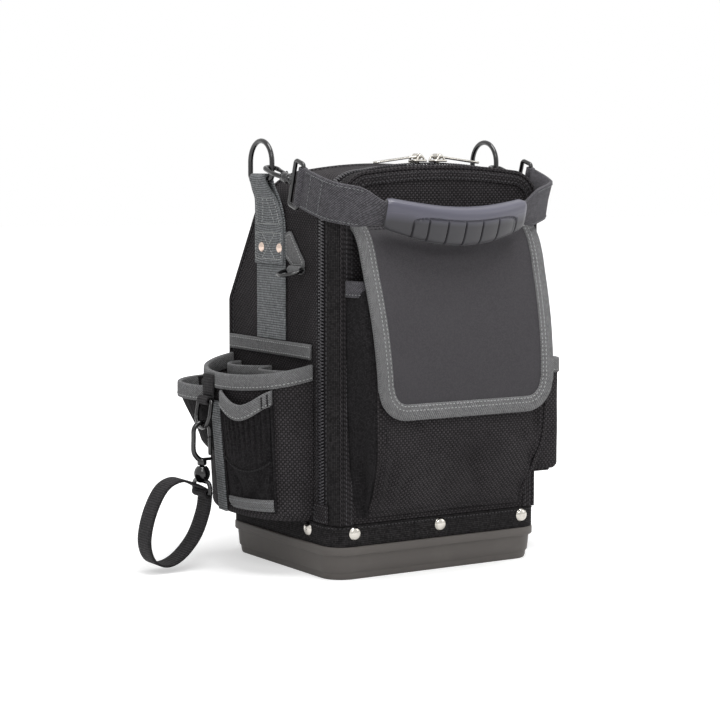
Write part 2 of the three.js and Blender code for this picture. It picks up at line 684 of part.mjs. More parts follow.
function strapTab() {
  const rear = strap.centre - strap.width / 2 - GAP;
  const plate = alongX([
    [rear, tab.bottom + 7], [rear, tab.top - 3], [rear - 9, tab.top], [tab.front, tab.bottom + 5],
    [tab.front, smallBar.z], [tab.rear, smallBar.z],
  ], -bodySide - tab.thickness, -bodySide);
  const middle = (tab.front + tab.rear) / 2;
  const eyeRadius = smallRing.wire + GAP + tab.thickness;
  const width = tab.rear - tab.front;
  const atBar = (geometry) => geometry.translate(smallBar.x, middle, smallBar.z);
  const eye = atBar(cylinderY(eyeRadius, width, 16));
  const bore = atBar(cylinderY(smallRing.wire + GAP, 2 * width, 16));
  return toGeometry(minus(union(plate, eye), bore));
}

// A D-shaped wire ring about its straight bar, which lies along Y with the bow above it
function dRing({ wire: radius, half, corner: r }, height) {
  const top = height - half;
  const path = [
    ...arc(0, top, half, 0, 180, 10),
    ...arc(-half + r, r, r, 180, 270, 3),
    ...arc(half - r, r, r, 270, 360, 3),
  ].map(([y, z]) => vec(0, y, z));
  return wire(path, radius, vec(1, 0, 0), { closed: true });
}

const sideRing = (side) =>
  dRing(ring, ring.drop + ring.half).translate(side * ringX, strap.centre, ringBarZ);

function smallRingShape() {
  const width = (tab.rear - tab.front) / 2 + smallRing.wire + 1;
  const shape = dRing({ wire: smallRing.wire, half: width, corner: 2 }, Math.max(smallRing.depth, width + 2));
  const tilt = THREE.MathUtils.degToRad(-90 + smallRing.tilt);
  return shape.rotateY(tilt).translate(smallBar.x, (tab.front + tab.rear) / 2, smallBar.z);
}

// The handle, in its own drooping plane: X across, -Y forwards from the rings, Z square to it

const hookEye = ring.half - ring.wire - GAP + hook.half - hook.wire; // centre of the hook's bend
const noseEnd = hookEye + hook.nose;
const gateRoot = noseEnd + 0.5 + hook.gate;
const barrelFrom = gateRoot + hook.wire + 1.4;
const neckFrom = barrelFrom + hook.barrelLength;
const loopFrom = neckFrom + 8;
const eyeAt = loopFrom + hookLoop.depth;
const loopHalf = handle.webWidth / 2 + hookLoop.wire + 0.4;

const alongHandle = (x, f, w) => vec(x, -f, w);

function snapHook(side) {
  const p = (v, u) => vec(side * (ringX + v), -u, 0);
  const claw = wire([
    p(0, barrelFrom + 2),
    p(hook.half * 0.72, barrelFrom - 2.5),
    p(hook.half, barrelFrom - 8),
    p(hook.half, hookEye),
    ...arc(0, hookEye, hook.half, 0, -180, 8).slice(1).map(([v, u]) => p(v, u)),
    p(-hook.half, noseEnd),
  ], hook.wire, vec(0, 0, 1));
  const onAxis = (radius, length, sides, u) =>
    cylinderY(radius, length, sides).translate(side * ringX, -u, 0);
  const barrel = onAxis(hook.barrel, hook.barrelLength, 14, barrelFrom + hook.barrelLength / 2);
  const ear = box(-hook.half - hook.wire, 0, -barrelFrom - 2.5, -barrelFrom, -hook.wire, hook.wire);
  if (side < 0) ear.rotateZ(Math.PI).translate(0, -2 * barrelFrom - 2.5, 0);
  ear.translate(side * ringX, 0, 0);
  const neck = onAxis(hook.neck, 10, 10, neckFrom + 2);
  const knuckle = onAxis(hookLoop.knuckle, 5, 14, loopFrom - 2);
  const [a, b, r] = [loopFrom, eyeAt, hookLoop.corner];
  const frame = [
    ...arc(b - r, loopHalf - r, r, 0, 90, 3), ...arc(a + r, loopHalf - r, r, 90, 180, 3),
    ...arc(a + r, -loopHalf + r, r, 180, 270, 3), ...arc(b - r, -loopHalf + r, r, 270, 360, 3),
  ].map(([u, w]) => vec(side * ringX, -u, w));
  const loopWire = wire(frame, hookLoop.wire, vec(1, 0, 0), { closed: true });
  return toGeometry(union(claw, barrel, ear, neck, knuckle, loopWire));
}

function snapGate(side) {
  const p = (u) => vec(side * (ringX - hook.half), -u, 0);
  return wire([p(noseEnd + 0.5), p(gateRoot + 0.8)], hook.wire - 0.3, vec(0, 0, 1));
}

// The webbing's path forward round the front of the bag, sagging to the middle
const handleReach = strap.centre - faceY + handle.ahead;
const halfBow = handleBow.map(([inwards, behind]) => [ringX - inwards, handleReach - behind]);
const webPath = smooth([
  [-ringX, eyeAt],
  ...halfBow.map(([x, f]) => [-x, f]),
  [0, handleReach],
  ...[...halfBow].reverse(),
  [ringX, eyeAt],
], 30);
const sagAt = (x) => -sag.depth * Math.max(0, 1 - (x / sag.half) ** 2) ** 2;

function webStrip(grow) {
  return strip(webPath, [-handle.web / 2 - grow, handle.web / 2 + grow], (_, [x]) => {
    const out = Math.abs(x - grip.shift) - grip.length / 2;
    const widening = THREE.MathUtils.smoothstep(out, -handle.taperIn, handle.taperOut);
    const half = mix(handle.narrow, handle.webWidth, widening) / 2 + grow;
    return [sagAt(x) - half, sagAt(x) + half];
  }, alongHandle);
}

function handleWebbing() {
  const atLoops = (radius, length) =>
    [-1, 1].map((side) => cylinder(radius, length, 16).translate(side * ringX, -eyeAt, 0));
  const eyes = atLoops(hookLoop.wire + GAP + hookLoop.fold, handle.webWidth);
  const bores = atLoops(hookLoop.wire + GAP, handle.webWidth + 5);
  return toGeometry(minus(union(webStrip(0), ...eyes), ...bores));
}

const gripDepth = (along) => mix(grip.depth, grip.endDepth, along ** 2);

function handleGrip() {
  const path = smooth(webPath.filter(([x]) => Math.abs(x - grip.shift) < grip.length / 2 + 6), 15);
  const ends = [grip.shift - grip.length / 2, grip.shift + grip.length / 2];
  const inside = path.filter(([x]) => x > ends[0] + 2 && x < ends[1] - 2);
  const normals = beside(inside, 1).map(([x, f], i) => [x - inside[i][0], f - inside[i][1]]);
  const sleeve = loft(inside.map(([x, f], i) => {
    const [nx, nf] = normals[i];
    const along = Math.abs(x - grip.shift) / (grip.length / 2);
    const fall = Math.max(0, (along - 0.9) / 0.1);
    const height = mix(grip.midHeight, grip.endHeight, along ** 2) - 2 * fall;
    const depth = gripDepth(along) - 1.2 * fall;
    return steps(14).slice(0, 14).map((t) => {
      const [c, s] = [Math.cos(2 * Math.PI * t), Math.sin(2 * Math.PI * t)];
      const [a, b] = [[c, depth], [s, height]].map(([k, size]) => Math.sign(k) * Math.abs(k) ** 0.6 * size);
      return alongHandle(x + nx * a, f + nf * a, sagAt(x) + b);
    });
  }));
  const cuts = steps(groove.count - 1).map((t) => {
    const x = grip.shift + (t - 0.5) * (groove.count - 1) * groove.pitch;
    const off = ([px]) => Math.abs(px - x);
    const i = inside.reduce((best, point, k) => (off(point) < off(inside[best]) ? k : best), 0);
    const along = Math.abs(x - grip.shift) / (grip.length / 2);
    const depth = gripDepth(along);
    const out = depth + groove.radius - groove.depth;
    const [f, tall] = [inside[i][1] + normals[i][1] * out, 1.35 * grip.midHeight];
    return cylinder(groove.radius, tall, 10).translate(x + normals[i][0] * out, -f, sagAt(x));
  });
  return toGeometry(minus(solid(sleeve), webStrip(GAP), ...cuts));
}

// Left pouch: an open-topped wall round half an ellipse, seen from above

function pouchPoint(s, z, grow = 0) {
  const angle = Math.PI * s;
  const down = THREE.MathUtils.clamp((pouchMouth.top - z) / (pouchMouth.top - pouch.bottom), 0, 1);
  const reach = pouch.reach - pouch.taper * down + grow;
  const centre = (pouchFront + pouchBack) / 2;
  return [-(bodySide + reach * Math.sin(angle) ** 0.75), centre + (pouchHalf + grow) * Math.cos(angle)];
}

const pouchRim = (s) => pouchMouth.top - pouchMouth.dip * Math.sin(Math.PI * s) ** 0.8;

// A block of the pouch's outline between two heights that may follow the rim
function pouchBlock(grow, lowAt, highAt) {
  const count = 18;
  return loft(steps(3).map((t) => steps(count).map((s) => {
    const z = mix(lowAt(s), highAt(s), t);
    const [x, y] = pouchPoint(s, z, grow);
    return vec(s === 0 || s === 1 ? -bodySide + (grow < 0 ? 5 : 0) : x, y, z);
  })));
}

function leftPouch() {
  const outer = pouchBlock(0, () => pouch.bottom, pouchRim);
  const cavity = pouchBlock(-pouch.wall, () => pouch.bottom + pouch.wall, (s) => pouchRim(s) + 20);
  return toGeometry(minus(solid(outer), cavity));
}

function leftPouchBinding() {
  const skin = GAP + binding.thickness;
  const outer = pouchBlock(skin, (s) => pouchRim(s) - binding.height, (s) => pouchRim(s) + skin);
  const space = pouchBlock(GAP, (s) => pouchRim(s) - 40, (s) => pouchRim(s) + GAP);
  const cavity = pouchBlock(-pouch.wall, (s) => pouchRim(s) - 30, (s) => pouchRim(s) + 20);
  return toGeometry(minus(solid(outer), space, cavity));
}

// Two loops of cloth that make the pouch's inner cells
function pouchDividers() {
  const [front, back] = [pouchFront + divider.edge, pouchBack - divider.edge];
  const middle = (front + back) / 2;
  const scallop = (from, to) => steps(8).map((t) => [
    -(bodySide + divider.stand + divider.reach * Math.sin(Math.PI * t) ** 0.6), mix(from, to, t),
  ]);
  const path = [...scallop(front, middle), ...scallop(middle, back).slice(1)];
  return alongZ(ribbon(path, divider.wall), divider.bottom, divider.top);
}

// A pocket that bellies out of the pouch's wall
const pocketHigh = (p) => (s) => {
  const under = pouchRim(s) - binding.height - binding.thickness - 3 * GAP;
  const across = THREE.MathUtils.clamp((s - p.from) / (p.to - p.from), 0, 1);
  return under - p.dip * Math.sin(Math.PI * across) ** 2;
};

function bellyBlock(p, grow, lowAt, highAt, { inset = 0, open = 0 } = {}) {
  const count = 12;
  const levels = 5;
  return loft(steps(levels).map((t) => {
    const at = (s) => mix(lowAt(s), highAt(s), t);
    const span = steps(count).map((u) => mix(p.from + inset, p.to - inset, u));
    const outside = span.map((s, i) => {
      const z = at(s);
      const up = THREE.MathUtils.smoothstep(z, p.bottom, mix(p.bottom, pouchMouth.top, 0.7));
      const full = mix(p.foot, p.bulge, up);
      const belly = full * Math.sin(Math.PI * i / count) ** 0.8;
      return vec(...pouchPoint(s, z, GAP + p.wall + belly + grow), z);
    });
    const against = span.map((s) => vec(...pouchPoint(s, at(s), GAP - open), at(s)));
    return [...outside, ...against.reverse()];
  }));
}

function bellyPocket(p) {
  const high = pocketHigh(p);
  const outer = bellyBlock(p, 0, () => p.bottom, high);
  return toGeometry(minus(solid(outer), bellyCavity(p, () => p.bottom + p.wall + 3)));
}

const bellyCavity = (p, lowAt) =>
  bellyBlock(p, -p.wall, lowAt, (s) => pocketHigh(p)(s) + 10, { inset: 0.012, open: 1 });

function bellyBinding(p) {
  const high = pocketHigh(p);
  const low = (s) => high(s) - binding.height;
  const skin = GAP + binding.thickness;
  const outer = bellyBlock(p, skin, low, (s) => high(s) + skin, { inset: 0.003 });
  const space = bellyBlock(p, 1.5 * GAP, () => p.bottom, (s) => high(s) + 2 * GAP, { open: 0.1 });
  return toGeometry(minus(solid(outer), space, bellyCavity(p, (s) => low(s) - 5)));
}

function pouchTape() {
  const count = 6;
  const span = steps(count).map((u) => tape.at + (u - 0.5) * tape.width / (pouchHalf * Math.PI));
  return loft([tape.bottom, mix(tape.bottom, tape.top, 0.5), tape.top].map((z) => [
    ...span.map((s) => vec(...pouchPoint(s, z, GAP + tape.thickness), z)),
    ...span.map((s) => vec(...pouchPoint(s, z, GAP), z)).reverse(),
  ]));
}

// Right pocket: a box with rounded front corners, open at the top

function sidePocketBlock(grow, low, high, open = 0) {
  const [x, r] = [bodySide + sidePocket.depth + grow, sidePocket.corner + grow];
  const from = zipY + sidePocket.behindZip;
  const [front, back] = [from - grow, from + sidePocket.length + grow];
  const outline = [
    [bodySide - open, front],
    ...arc(x - r, front + r, r, -90, 0, 4),
    ...arc(x - r, back - r, r, 0, 90, 4),
    [bodySide - open, back],
  ];
  return alongZ(outline, low, high);
}

function rightPocket() {
  const outer = sidePocketBlock(0, sidePocket.bottom, sidePocket.top);
  const floor = sidePocket.bottom + sidePocket.wall;
  const cavity = sidePocketBlock(-sidePocket.wall, floor, sidePocket.top + 5, 5);
  return toGeometry(minus(solid(outer), cavity));
}

function rightPocketBinding() {
  const [low, high] = [sidePocket.top - binding.height, sidePocket.top + GAP + binding.thickness];
  const outer = sidePocketBlock(GAP + binding.thickness, low, high);
  const space = sidePocketBlock(GAP, low - 5, sidePocket.top + GAP, 5);
  const cavity = sidePocketBlock(-sidePocket.wall, low - 5, high + 5, 5);
  return toGeometry(minus(solid(outer), space, cavity));
}

// Thong: a ring on a tab, a snap hook on the ring, and a loop of webbing on its swivel

const thongTabX = pouchPoint(0.4, pouchMouth.top, 2 * GAP + binding.thickness)[0] - thongTab.stand;
const thongEye = thongRing.wire + GAP + thongTab.thickness;
const thongX = thongTabX - thongEye;
const thongLean = THREE.MathUtils.degToRad(thongRing.tilt);
const thongRingLow = thongTab.eye - thongRing.height * Math.cos(thongLean);
const hookX = thongX - thongRing.height * Math.sin(thongLean);
const thongBend = thongRingLow + thongRing.wire + GAP - (thongHook.half - thongHook.wire);
const thongShank = thongBend - thongHook.nose - 0.5 - thongHook.gate;

function thongTabShape() {
  const [y0, y1] = [thongTab.y - thongTab.width / 2, thongTab.y + thongTab.width / 2];
  const plate = box(thongTabX - thongTab.thickness, thongTabX, y0, y1, thongTab.eye, thongTab.top);
  const atEye = (geometry) => geometry.translate(thongX, thongTab.y, thongTab.eye);
  const eye = atEye(cylinderY(thongEye, thongTab.width, 16));
  const bore = atEye(cylinderY(thongRing.wire + GAP, thongTab.width + 5, 16));
  return toGeometry(minus(union(plate, eye), bore));
}

function thongRingShape() {
  const hanging = dRing(thongRing, thongRing.height).rotateX(Math.PI).rotateY(thongLean);
  return hanging.translate(thongX, thongTab.y, thongTab.eye);
}

function thongHookShape() {
  const p = (v, z) => vec(hookX + v, thongTab.y, z);
  const r = thongHook.half;
  const claw = wire([
    p(0, thongShank - 6),
    p(-r * 0.7, thongShank - 1.5),
    p(-r, thongShank + 4),
    p(-r, thongBend),
    ...arc(0, thongBend, r, 180, 0, 10).slice(1).map(([v, z]) => p(v, z)),
    p(r, thongBend - thongHook.nose),
  ], thongHook.wire, vec(0, 1, 0));
  const heel = box(-1, r + thongHook.wire, -thongHook.wire, thongHook.wire, -5.6, -3.2)
    .translate(hookX, thongTab.y, thongShank);
  const stem = cylinder(thongHook.stem, 6, 12).translate(hookX, thongTab.y, thongShank - 6.5);
  const pin = cylinder(thongHook.pin, 6, 12).translate(hookX, thongTab.y, thongShank - 11);
  return toGeometry(union(claw, heel, stem, pin));
}

const thongGate = () => wire([
  vec(hookX + thongHook.half, thongTab.y, thongBend - thongHook.nose - 0.5),
  vec(hookX + thongHook.half, thongTab.y, thongShank - 0.8),
], thongHook.wire - 0.3, vec(0, 1, 0));

const knobTop = thongShank - 10.5;

// The swivel turns on the hook's pin; its lower loop holds the webbing
function thongSwivel() {
  const knob = new THREE.LatheGeometry([
    [0, -swivel.height], [4.6, -swivel.height], [swivel.radius, -swivel.height * 0.6],
    [swivel.radius, -swivel.height * 0.35], [4.6, -0.1], [0, -0.1],
  ].map(([r, h]) => new THREE.Vector2(r, h)), 16).rotateX(Math.PI / 2).translate(hookX, thongTab.y, knobTop);
  const socket = cylinder(thongHook.pin + GAP, 8, 12).translate(hookX, thongTab.y, knobTop);
  const half = swivel.slot / 2 + swivel.bar;
  const [a, b] = [knobTop - swivel.height + 1.5, swivelBarZ];
  const frame = [
    ...arc(half - 2, b + 2, 2, 270, 360, 2), ...arc(half - 2, a - 2, 2, 0, 90, 2),
    ...arc(-half + 2, a - 2, 2, 90, 180, 2), ...arc(-half + 2, b + 2, 2, 180, 270, 2),
  ].map(([y, z]) => vec(hookX, thongTab.y + y, z));
  return toGeometry(minus(union(knob, wire(frame, swivel.bar, vec(1, 0, 0), { closed: true })), socket));
}

const swivelBarZ = knobTop - swivel.height - swivel.drop;

function thongWebbing() {
  const r = swivel.bar + GAP + thongWeb.thickness / 2;
  const path = smooth([[r, 0], ...thongLoop], 30).map(([x, z]) => [hookX + x, swivelBarZ + z]);
  const half = thongWeb.width / 2;
  const place = (x, z, y) => vec(x, thongTab.y + y, z);
  const web = strip(path, [-thongWeb.thickness / 2, thongWeb.thickness / 2], () => [-half, half], place);
  const atBar = (geometry) => geometry.translate(hookX, thongTab.y, swivelBarZ);
  const eye = atBar(cylinderY(r + thongWeb.thickness / 2, thongWeb.width, 18));
  const bore = atBar(cylinderY(swivel.bar + GAP, thongWeb.width + 5, 18));
  return toGeometry(minus(union(web, eye), bore));
}

// Zip sliders, and the pulls that lie outwards from them

const sliderZ = body.top + zip.proud + slider.lift;
const sliderY = zipY + slider.offset;
const bridgeTop = sliderZ + slider.plate + slider.bridge;
const pullEye = pull.pin + GAP + pull.eye;
const pullZ = sliderZ + slider.plate + pullEye + GAP;

function sliderShape(side) {
  const x = side * slider.fromCentre;
  const [half, y0, y1] = [slider.length / 2, zipY - zip.width, zipY + zip.width + 2.4];
  const outline = [
    ...arc(half - 3, y1 - 3, 3, 0, 90, 3), ...arc(-half + 3, y1 - 3, 3, 90, 180, 3),
    ...arc(-half + 3, y0 + 3, 3, 180, 270, 3), ...arc(half - 3, y0 + 3, 3, 270, 360, 3),
  ];
  const plate = alongZ(outline, sliderZ, sliderZ + slider.plate);
  const flange = box(-half + 2, half - 2, gussetFrom, y1, body.top + GAP + 0.1, sliderZ + 0.5);
  const legs = [-1, 1].map((end) => box(-2.4, 2.4, 0, slider.leg, sliderZ + slider.plate - 0.5, bridgeTop)
    .translate(0, sliderY + end * (pull.width / 2 + GAP + slider.leg / 2) - slider.leg / 2, 0));
  const pin = cylinderY(pull.pin, pull.width + 2 * GAP + slider.leg, 10).translate(0, sliderY, pullZ);
  return toGeometry(union(plate, flange, ...legs, pin)).translate(x, 0, 0);
}

function pullShape(side) {
  const x = side * slider.fromCentre;
  const half = pull.width / 2;
  const outline = [
    [0, -half], [pull.length * 0.5, -half * 0.62], [pull.length * 0.78, -half * 0.8],
    ...arc(pull.length - half, 0, half, -60, 60, 6),
    [pull.length * 0.78, half * 0.8], [pull.length * 0.5, half * 0.62], [0, half],
  ];
  const leaf = alongZ(outline, -pull.thickness / 2, pull.thickness / 2);
  const eyelet = cylinderY(pullEye, pull.width, 12);
  const hole = cylinder(half * 0.45, 10, 12).translate(pull.length - half * 1.1, 0, 0);
  const bore = cylinderY(pull.pin + GAP, pull.width + 5, 12);
  const shape = toGeometry(minus(union(leaf, eyelet), bore, hole));
  shape.rotateY(THREE.MathUtils.degToRad(pull.tilt));
  if (side < 0) shape.rotateZ(Math.PI);
  return shape.translate(x, sliderY, pullZ);
}

// Assembly

const bag = new THREE.Group();
const handleGroup = new THREE.Group();
handleGroup.position.set(0, strap.centre, ring.centreZ);
handleGroup.rotation.x = THREE.MathUtils.degToRad(handle.droop);
bag.add(handleGroup);

function part(name, geometry, material, group = bag) {
  const bare = geometry.index ? geometry.toNonIndexed() : geometry;
  bare.deleteAttribute('uv');
  bare.computeVertexNormals();
  const mesh = new THREE.Mesh(bare, material.clone());
  mesh.name = name;
  group.add(mesh);
}

part('base_tray', baseTray(), baseMoulding);
part('lower_band', lowerBand(), blackNylon);
rivetPlaces.forEach((place) => part(place.name, baseRivet(place), nickel));
part('body_gusset', bodyGusset(), blackNylon);
part('back_panel', backPanel(), blackNylon);
part('inner_pocket', innerPocket(), blackNylon);
part('zip_chain_rear', rearChain(), zipCoil);

part('front_gusset', frontGusset(), blackNylon);
part('front_panel', frontPanel(), blackNylon);
part('zip_chain_front', frontChain(), zipCoil);
part('front_pocket', frontPocket(), blackNylon);
part('front_pocket_binding', frontPocketBinding(), greyWebbing);
part('flap_shelf', toGeometry(minus(solid(sewnPart()), hingeGap(GAP / 2))), flapFabric);
part('pocket_flap', flapBody(), flapFabric);
part('flap_binding', flapBinding(), greyWebbing);

for (const [name, side] of [['left', -1], ['right', 1]]) {
  part(`side_strap_${name}`, sideStrap(side), greyWebbing);
  strapRivetPlaces(side).forEach((place) => part(place.name, strapRivetShape(side, place.y), nickel));
  part(`band_${name}`, bandStrip(side), greyWebbing);
  part(`d_ring_${name}`, sideRing(side), blackMetal);
  part(`handle_hook_${name}`, snapHook(side), blackMetal, handleGroup);
  part(`gate_${name}`, snapGate(side), blackMetal, handleGroup);
  part(`slider_${name}`, sliderShape(side), nickel);
  part(`pull_${name}`, pullShape(side), nickel);
}
part('handle_webbing', handleWebbing(), greyWebbing, handleGroup);
part('handle_grip', handleGrip(), gripRubber, handleGroup);
part('strap_tab', strapTab(), greyWebbing);
part('small_d_ring', smallRingShape(), blackMetal);

part('left_pouch', leftPouch(), blackNylon);
part('left_pouch_binding', leftPouchBinding(), greyWebbing);
part('pouch_dividers', pouchDividers(), blackNylon);
part('elastic_pocket', bellyPocket(elastic), blackNylon);
part('elastic_pocket_binding', bellyBinding(elastic), greyWebbing);
part('rear_pocket', bellyPocket(corner), blackNylon);
part('rear_pocket_binding', bellyBinding(corner), greyWebbing);
part('pouch_webbing', pouchTape(), greyWebbing);
part('right_pocket', rightPocket(), blackNylon);
part('right_pocket_binding', rightPocketBinding(), greyWebbing);

part('thong_tab', thongTabShape(), blackWebbing);
part('thong_ring', thongRingShape(), blackMetal);
part('thong_hook', thongHookShape(), blackMetal);
part('thong_gate', thongGate(), blackMetal);
part('thong_swivel', thongSwivel(), blackMetal);
part('thong_webbing', thongWebbing(), blackWebbing);

export default bag;
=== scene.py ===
"""A zippered tool bag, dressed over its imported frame: woven nylon, webbing, bindings, zip, metal and stitching.

Sizes in the shape functions are millimetres, as in the frame's source; meshes are written in metres. The bag stands on
z 0 and its front looks towards -y. Letters that recur: t and u are shares from 0 to 1, s is the share of the way round
the left pouch, w a run down the flap, and f how far forward of its rings a point of the handle lies.
"""

import bpy
import numpy as np
from mathutils import Matrix


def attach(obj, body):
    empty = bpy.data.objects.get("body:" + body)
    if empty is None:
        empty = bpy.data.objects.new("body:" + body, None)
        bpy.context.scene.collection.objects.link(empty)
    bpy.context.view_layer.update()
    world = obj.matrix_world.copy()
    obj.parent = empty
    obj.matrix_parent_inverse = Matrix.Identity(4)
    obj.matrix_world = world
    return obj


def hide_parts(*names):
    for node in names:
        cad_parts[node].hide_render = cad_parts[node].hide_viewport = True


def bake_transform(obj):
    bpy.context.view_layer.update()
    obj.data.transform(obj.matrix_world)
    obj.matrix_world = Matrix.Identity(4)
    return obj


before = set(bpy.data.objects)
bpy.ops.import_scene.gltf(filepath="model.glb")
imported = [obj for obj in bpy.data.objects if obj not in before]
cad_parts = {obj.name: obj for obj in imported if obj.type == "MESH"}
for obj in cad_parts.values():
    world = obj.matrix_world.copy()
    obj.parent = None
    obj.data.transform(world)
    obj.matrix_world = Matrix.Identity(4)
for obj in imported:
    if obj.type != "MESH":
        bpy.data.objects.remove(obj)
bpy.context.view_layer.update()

MM = 0.001
SIDES = (("left", -1), ("right", 1))
SEWN_FOOT = 50.4  # lower edge of the sewn cloth, just over the base's rim
ARCH_MIDDLE = (0, 180)  # a place inside the arch, in x and z, from which its outward directions are told
ZIP_Y = -74.2  # the line on which the zip's two rows meet
FACE_Y = -95.4  # the front panel's cloth
STRAP_Y = 12.0  # the middle of the side straps and of the rings that hold the handle
RING_BAR = (124.8, 355.5)  # the side rings' bars: out from the middle, and up
BODY_SIDE = 113.5  # how far out the cloth of the body's sides lies
INSIDE = (0, 0, 200)  # a place inside the bag, from which its walls face outwards
FORWARD, ACROSS_Y = (0, -1, 0), (0, 1, 0)

# Camera


def link(made):
    """Puts a new object in the scene."""
    bpy.context.scene.collection.objects.link(made)
    return made


def turned_to(right, up, back, place):
    """The matrix of a camera or a lamp at a place, from its own right, up and back vectors."""
    return Matrix.Translation(place) @ Matrix(np.column_stack([right, up, back]).tolist()).to_4x4()


def place_camera():
    """The photograph's camera: its place, and its turn from azimuth, tilt and roll."""
    azimuth, tilt, roll = np.radians([-32.53, 5.528, 0.104])
    back = np.array([np.sin(azimuth) * np.cos(tilt), -np.cos(azimuth) * np.cos(tilt), np.sin(tilt)])
    level = np.cross(-back, [0, 0, 1])
    level /= np.linalg.norm(level)
    rise = np.cross(level, -back)
    right = level * np.cos(roll) + rise * np.sin(roll)
    up = rise * np.cos(roll) - level * np.sin(roll)
    camera = link(bpy.data.objects.new("camera", bpy.data.cameras.new("camera")))
    camera.data.lens, camera.data.sensor_width = 102.5, 36
    camera.matrix_world = turned_to(right, up, back, (-1.05368, -1.61170, 0.37097))
    bpy.context.scene.camera = camera


place_camera()

# Materials


def hex_colour(code):
    """A written sRGB colour as the linear values that the shaders take."""
    srgb = np.array([int(code[i : i + 2], 16) / 255 for i in (0, 2, 4)])
    linear = np.where(srgb <= 0.04045, srgb / 12.92, ((srgb + 0.055) / 1.055) ** 2.4)
    return (*linear.tolist(), 1.0)


def add(tree, kind, inputs=None, output=0, **settings):
    """Adds a node with its settings, sets or links its inputs, and returns the output asked for, if it has any."""
    made = tree.nodes.new(f"ShaderNode{kind}")
    for key, value in settings.items():
        setattr(made, key, value)
    for key, value in (inputs or {}).items():
        if isinstance(value, bpy.types.NodeSocket):
            tree.links.new(value, made.inputs[key])
        else:
            made.inputs[key].default_value = value
    return made.outputs[output] if made.outputs else made


def start(name):
    """An empty material, its tree, and the place on the object that its noises read."""
    made = bpy.data.materials.new(name)
    made.use_nodes = True
    made.node_tree.nodes.clear()
    return made, made.node_tree, add(made.node_tree, "TexCoord", output="Object")


def close(tree, **inputs):
    """The shader and the output; constants sit on the shader's own sockets."""
    named = {key.replace("_", " "): value for key, value in inputs.items()}
    add(tree, "OutputMaterial", {"Surface": add(tree, "BsdfPrincipled", named)})


def woven(name, gap, thread, worn, spacing, skew=0.0, depth=0.25, rough=0.85, sheen=0.1, specular=0.25,
          rib=0.0, fleck=0.4, pairs=0.0):
    """Cloth woven over and under: on each square of a checker a thread of one way lies on top, |sin| high.

    spacing is a square's width in millimetres, or its width and height. rib is the share of plain ribs
    across, fleck that of each thread's own shade, pairs how far that shade goes by the thread's way
    instead of chance, which paints the squares of one way paler as the light those threads catch, and
    worn the colour of rubbed patches. The colour follows the weave's height, so the gap colour is painted
    shade in the valleys between the threads.
    """
    made, tree, place = start(name)
    uv = add(tree, "UVMap", uv_map="UVMap")
    across, down = 1 / (np.broadcast_to(spacing, 2) * MM)
    turned = add(tree, "Mapping", {"Vector": uv, "Rotation": (0, 0, skew), "Scale": (across, down, 1)})
    squares = add(tree, "TexChecker", {"Vector": turned, "Scale": 1.0}, output="Fac")
    parts = add(tree, "SeparateXYZ", {0: turned}).node.outputs
    ridges = []
    for part in (parts[0], parts[1]):
        wave = add(tree, "Math", {0: part, 1: np.pi}, operation="MULTIPLY")
        wave = add(tree, "Math", {0: wave}, operation="SINE")
        ridges.append(add(tree, "Math", {0: wave}, operation="ABSOLUTE"))
    height = add(tree, "Mix", {0: squares, 2: ridges[0], 3: ridges[1]})
    height = add(tree, "Mix", {0: rib, 2: height, 3: ridges[1]})
    cell = add(tree, "VectorMath", {0: turned}, operation="FLOOR")
    own = add(tree, "TexWhiteNoise", {"Vector": cell}, noise_dimensions="2D")
    # Painted highlight: with pairs, the squares where threads of one way lie on top come out paler.
    own = add(tree, "Mix", {0: pairs, 2: own, 3: squares})
    # Painted light and shade: the colour follows the weave's height, dark in its valleys and pale on its crests.
    lit = add(tree, "Mix", {0: fleck, 2: height, 3: own})
    shade = add(tree, "MapRange", {0: lit, 1: 0.2, 2: 0.95, 3: 0.0, 4: 1.0})
    cloud = add(tree, "TexNoise", {"Vector": place, "Scale": 14, "Detail": 5, "Roughness": 0.6})
    patches = add(tree, "MapRange", {0: cloud, 1: 0.45, 2: 0.75, 3: 0.0, 4: 0.5})
    colour = add(tree, "Mix", {0: shade, 6: hex_colour(gap), 7: hex_colour(thread)}, 2, data_type="RGBA")
    colour = add(tree, "Mix", {0: patches, 6: colour, 7: hex_colour(worn)}, 2, data_type="RGBA")
    bump = add(tree, "Bump", {"Height": height, "Strength": 0.8, "Distance": depth * MM})
    matt = add(tree, "MapRange", {0: cloud, 3: rough - 0.08, 4: rough + 0.08})
    close(tree, Base_Color=colour, Roughness=matt, Normal=bump, Sheen_Weight=sheen, Specular_IOR_Level=specular)
    return made


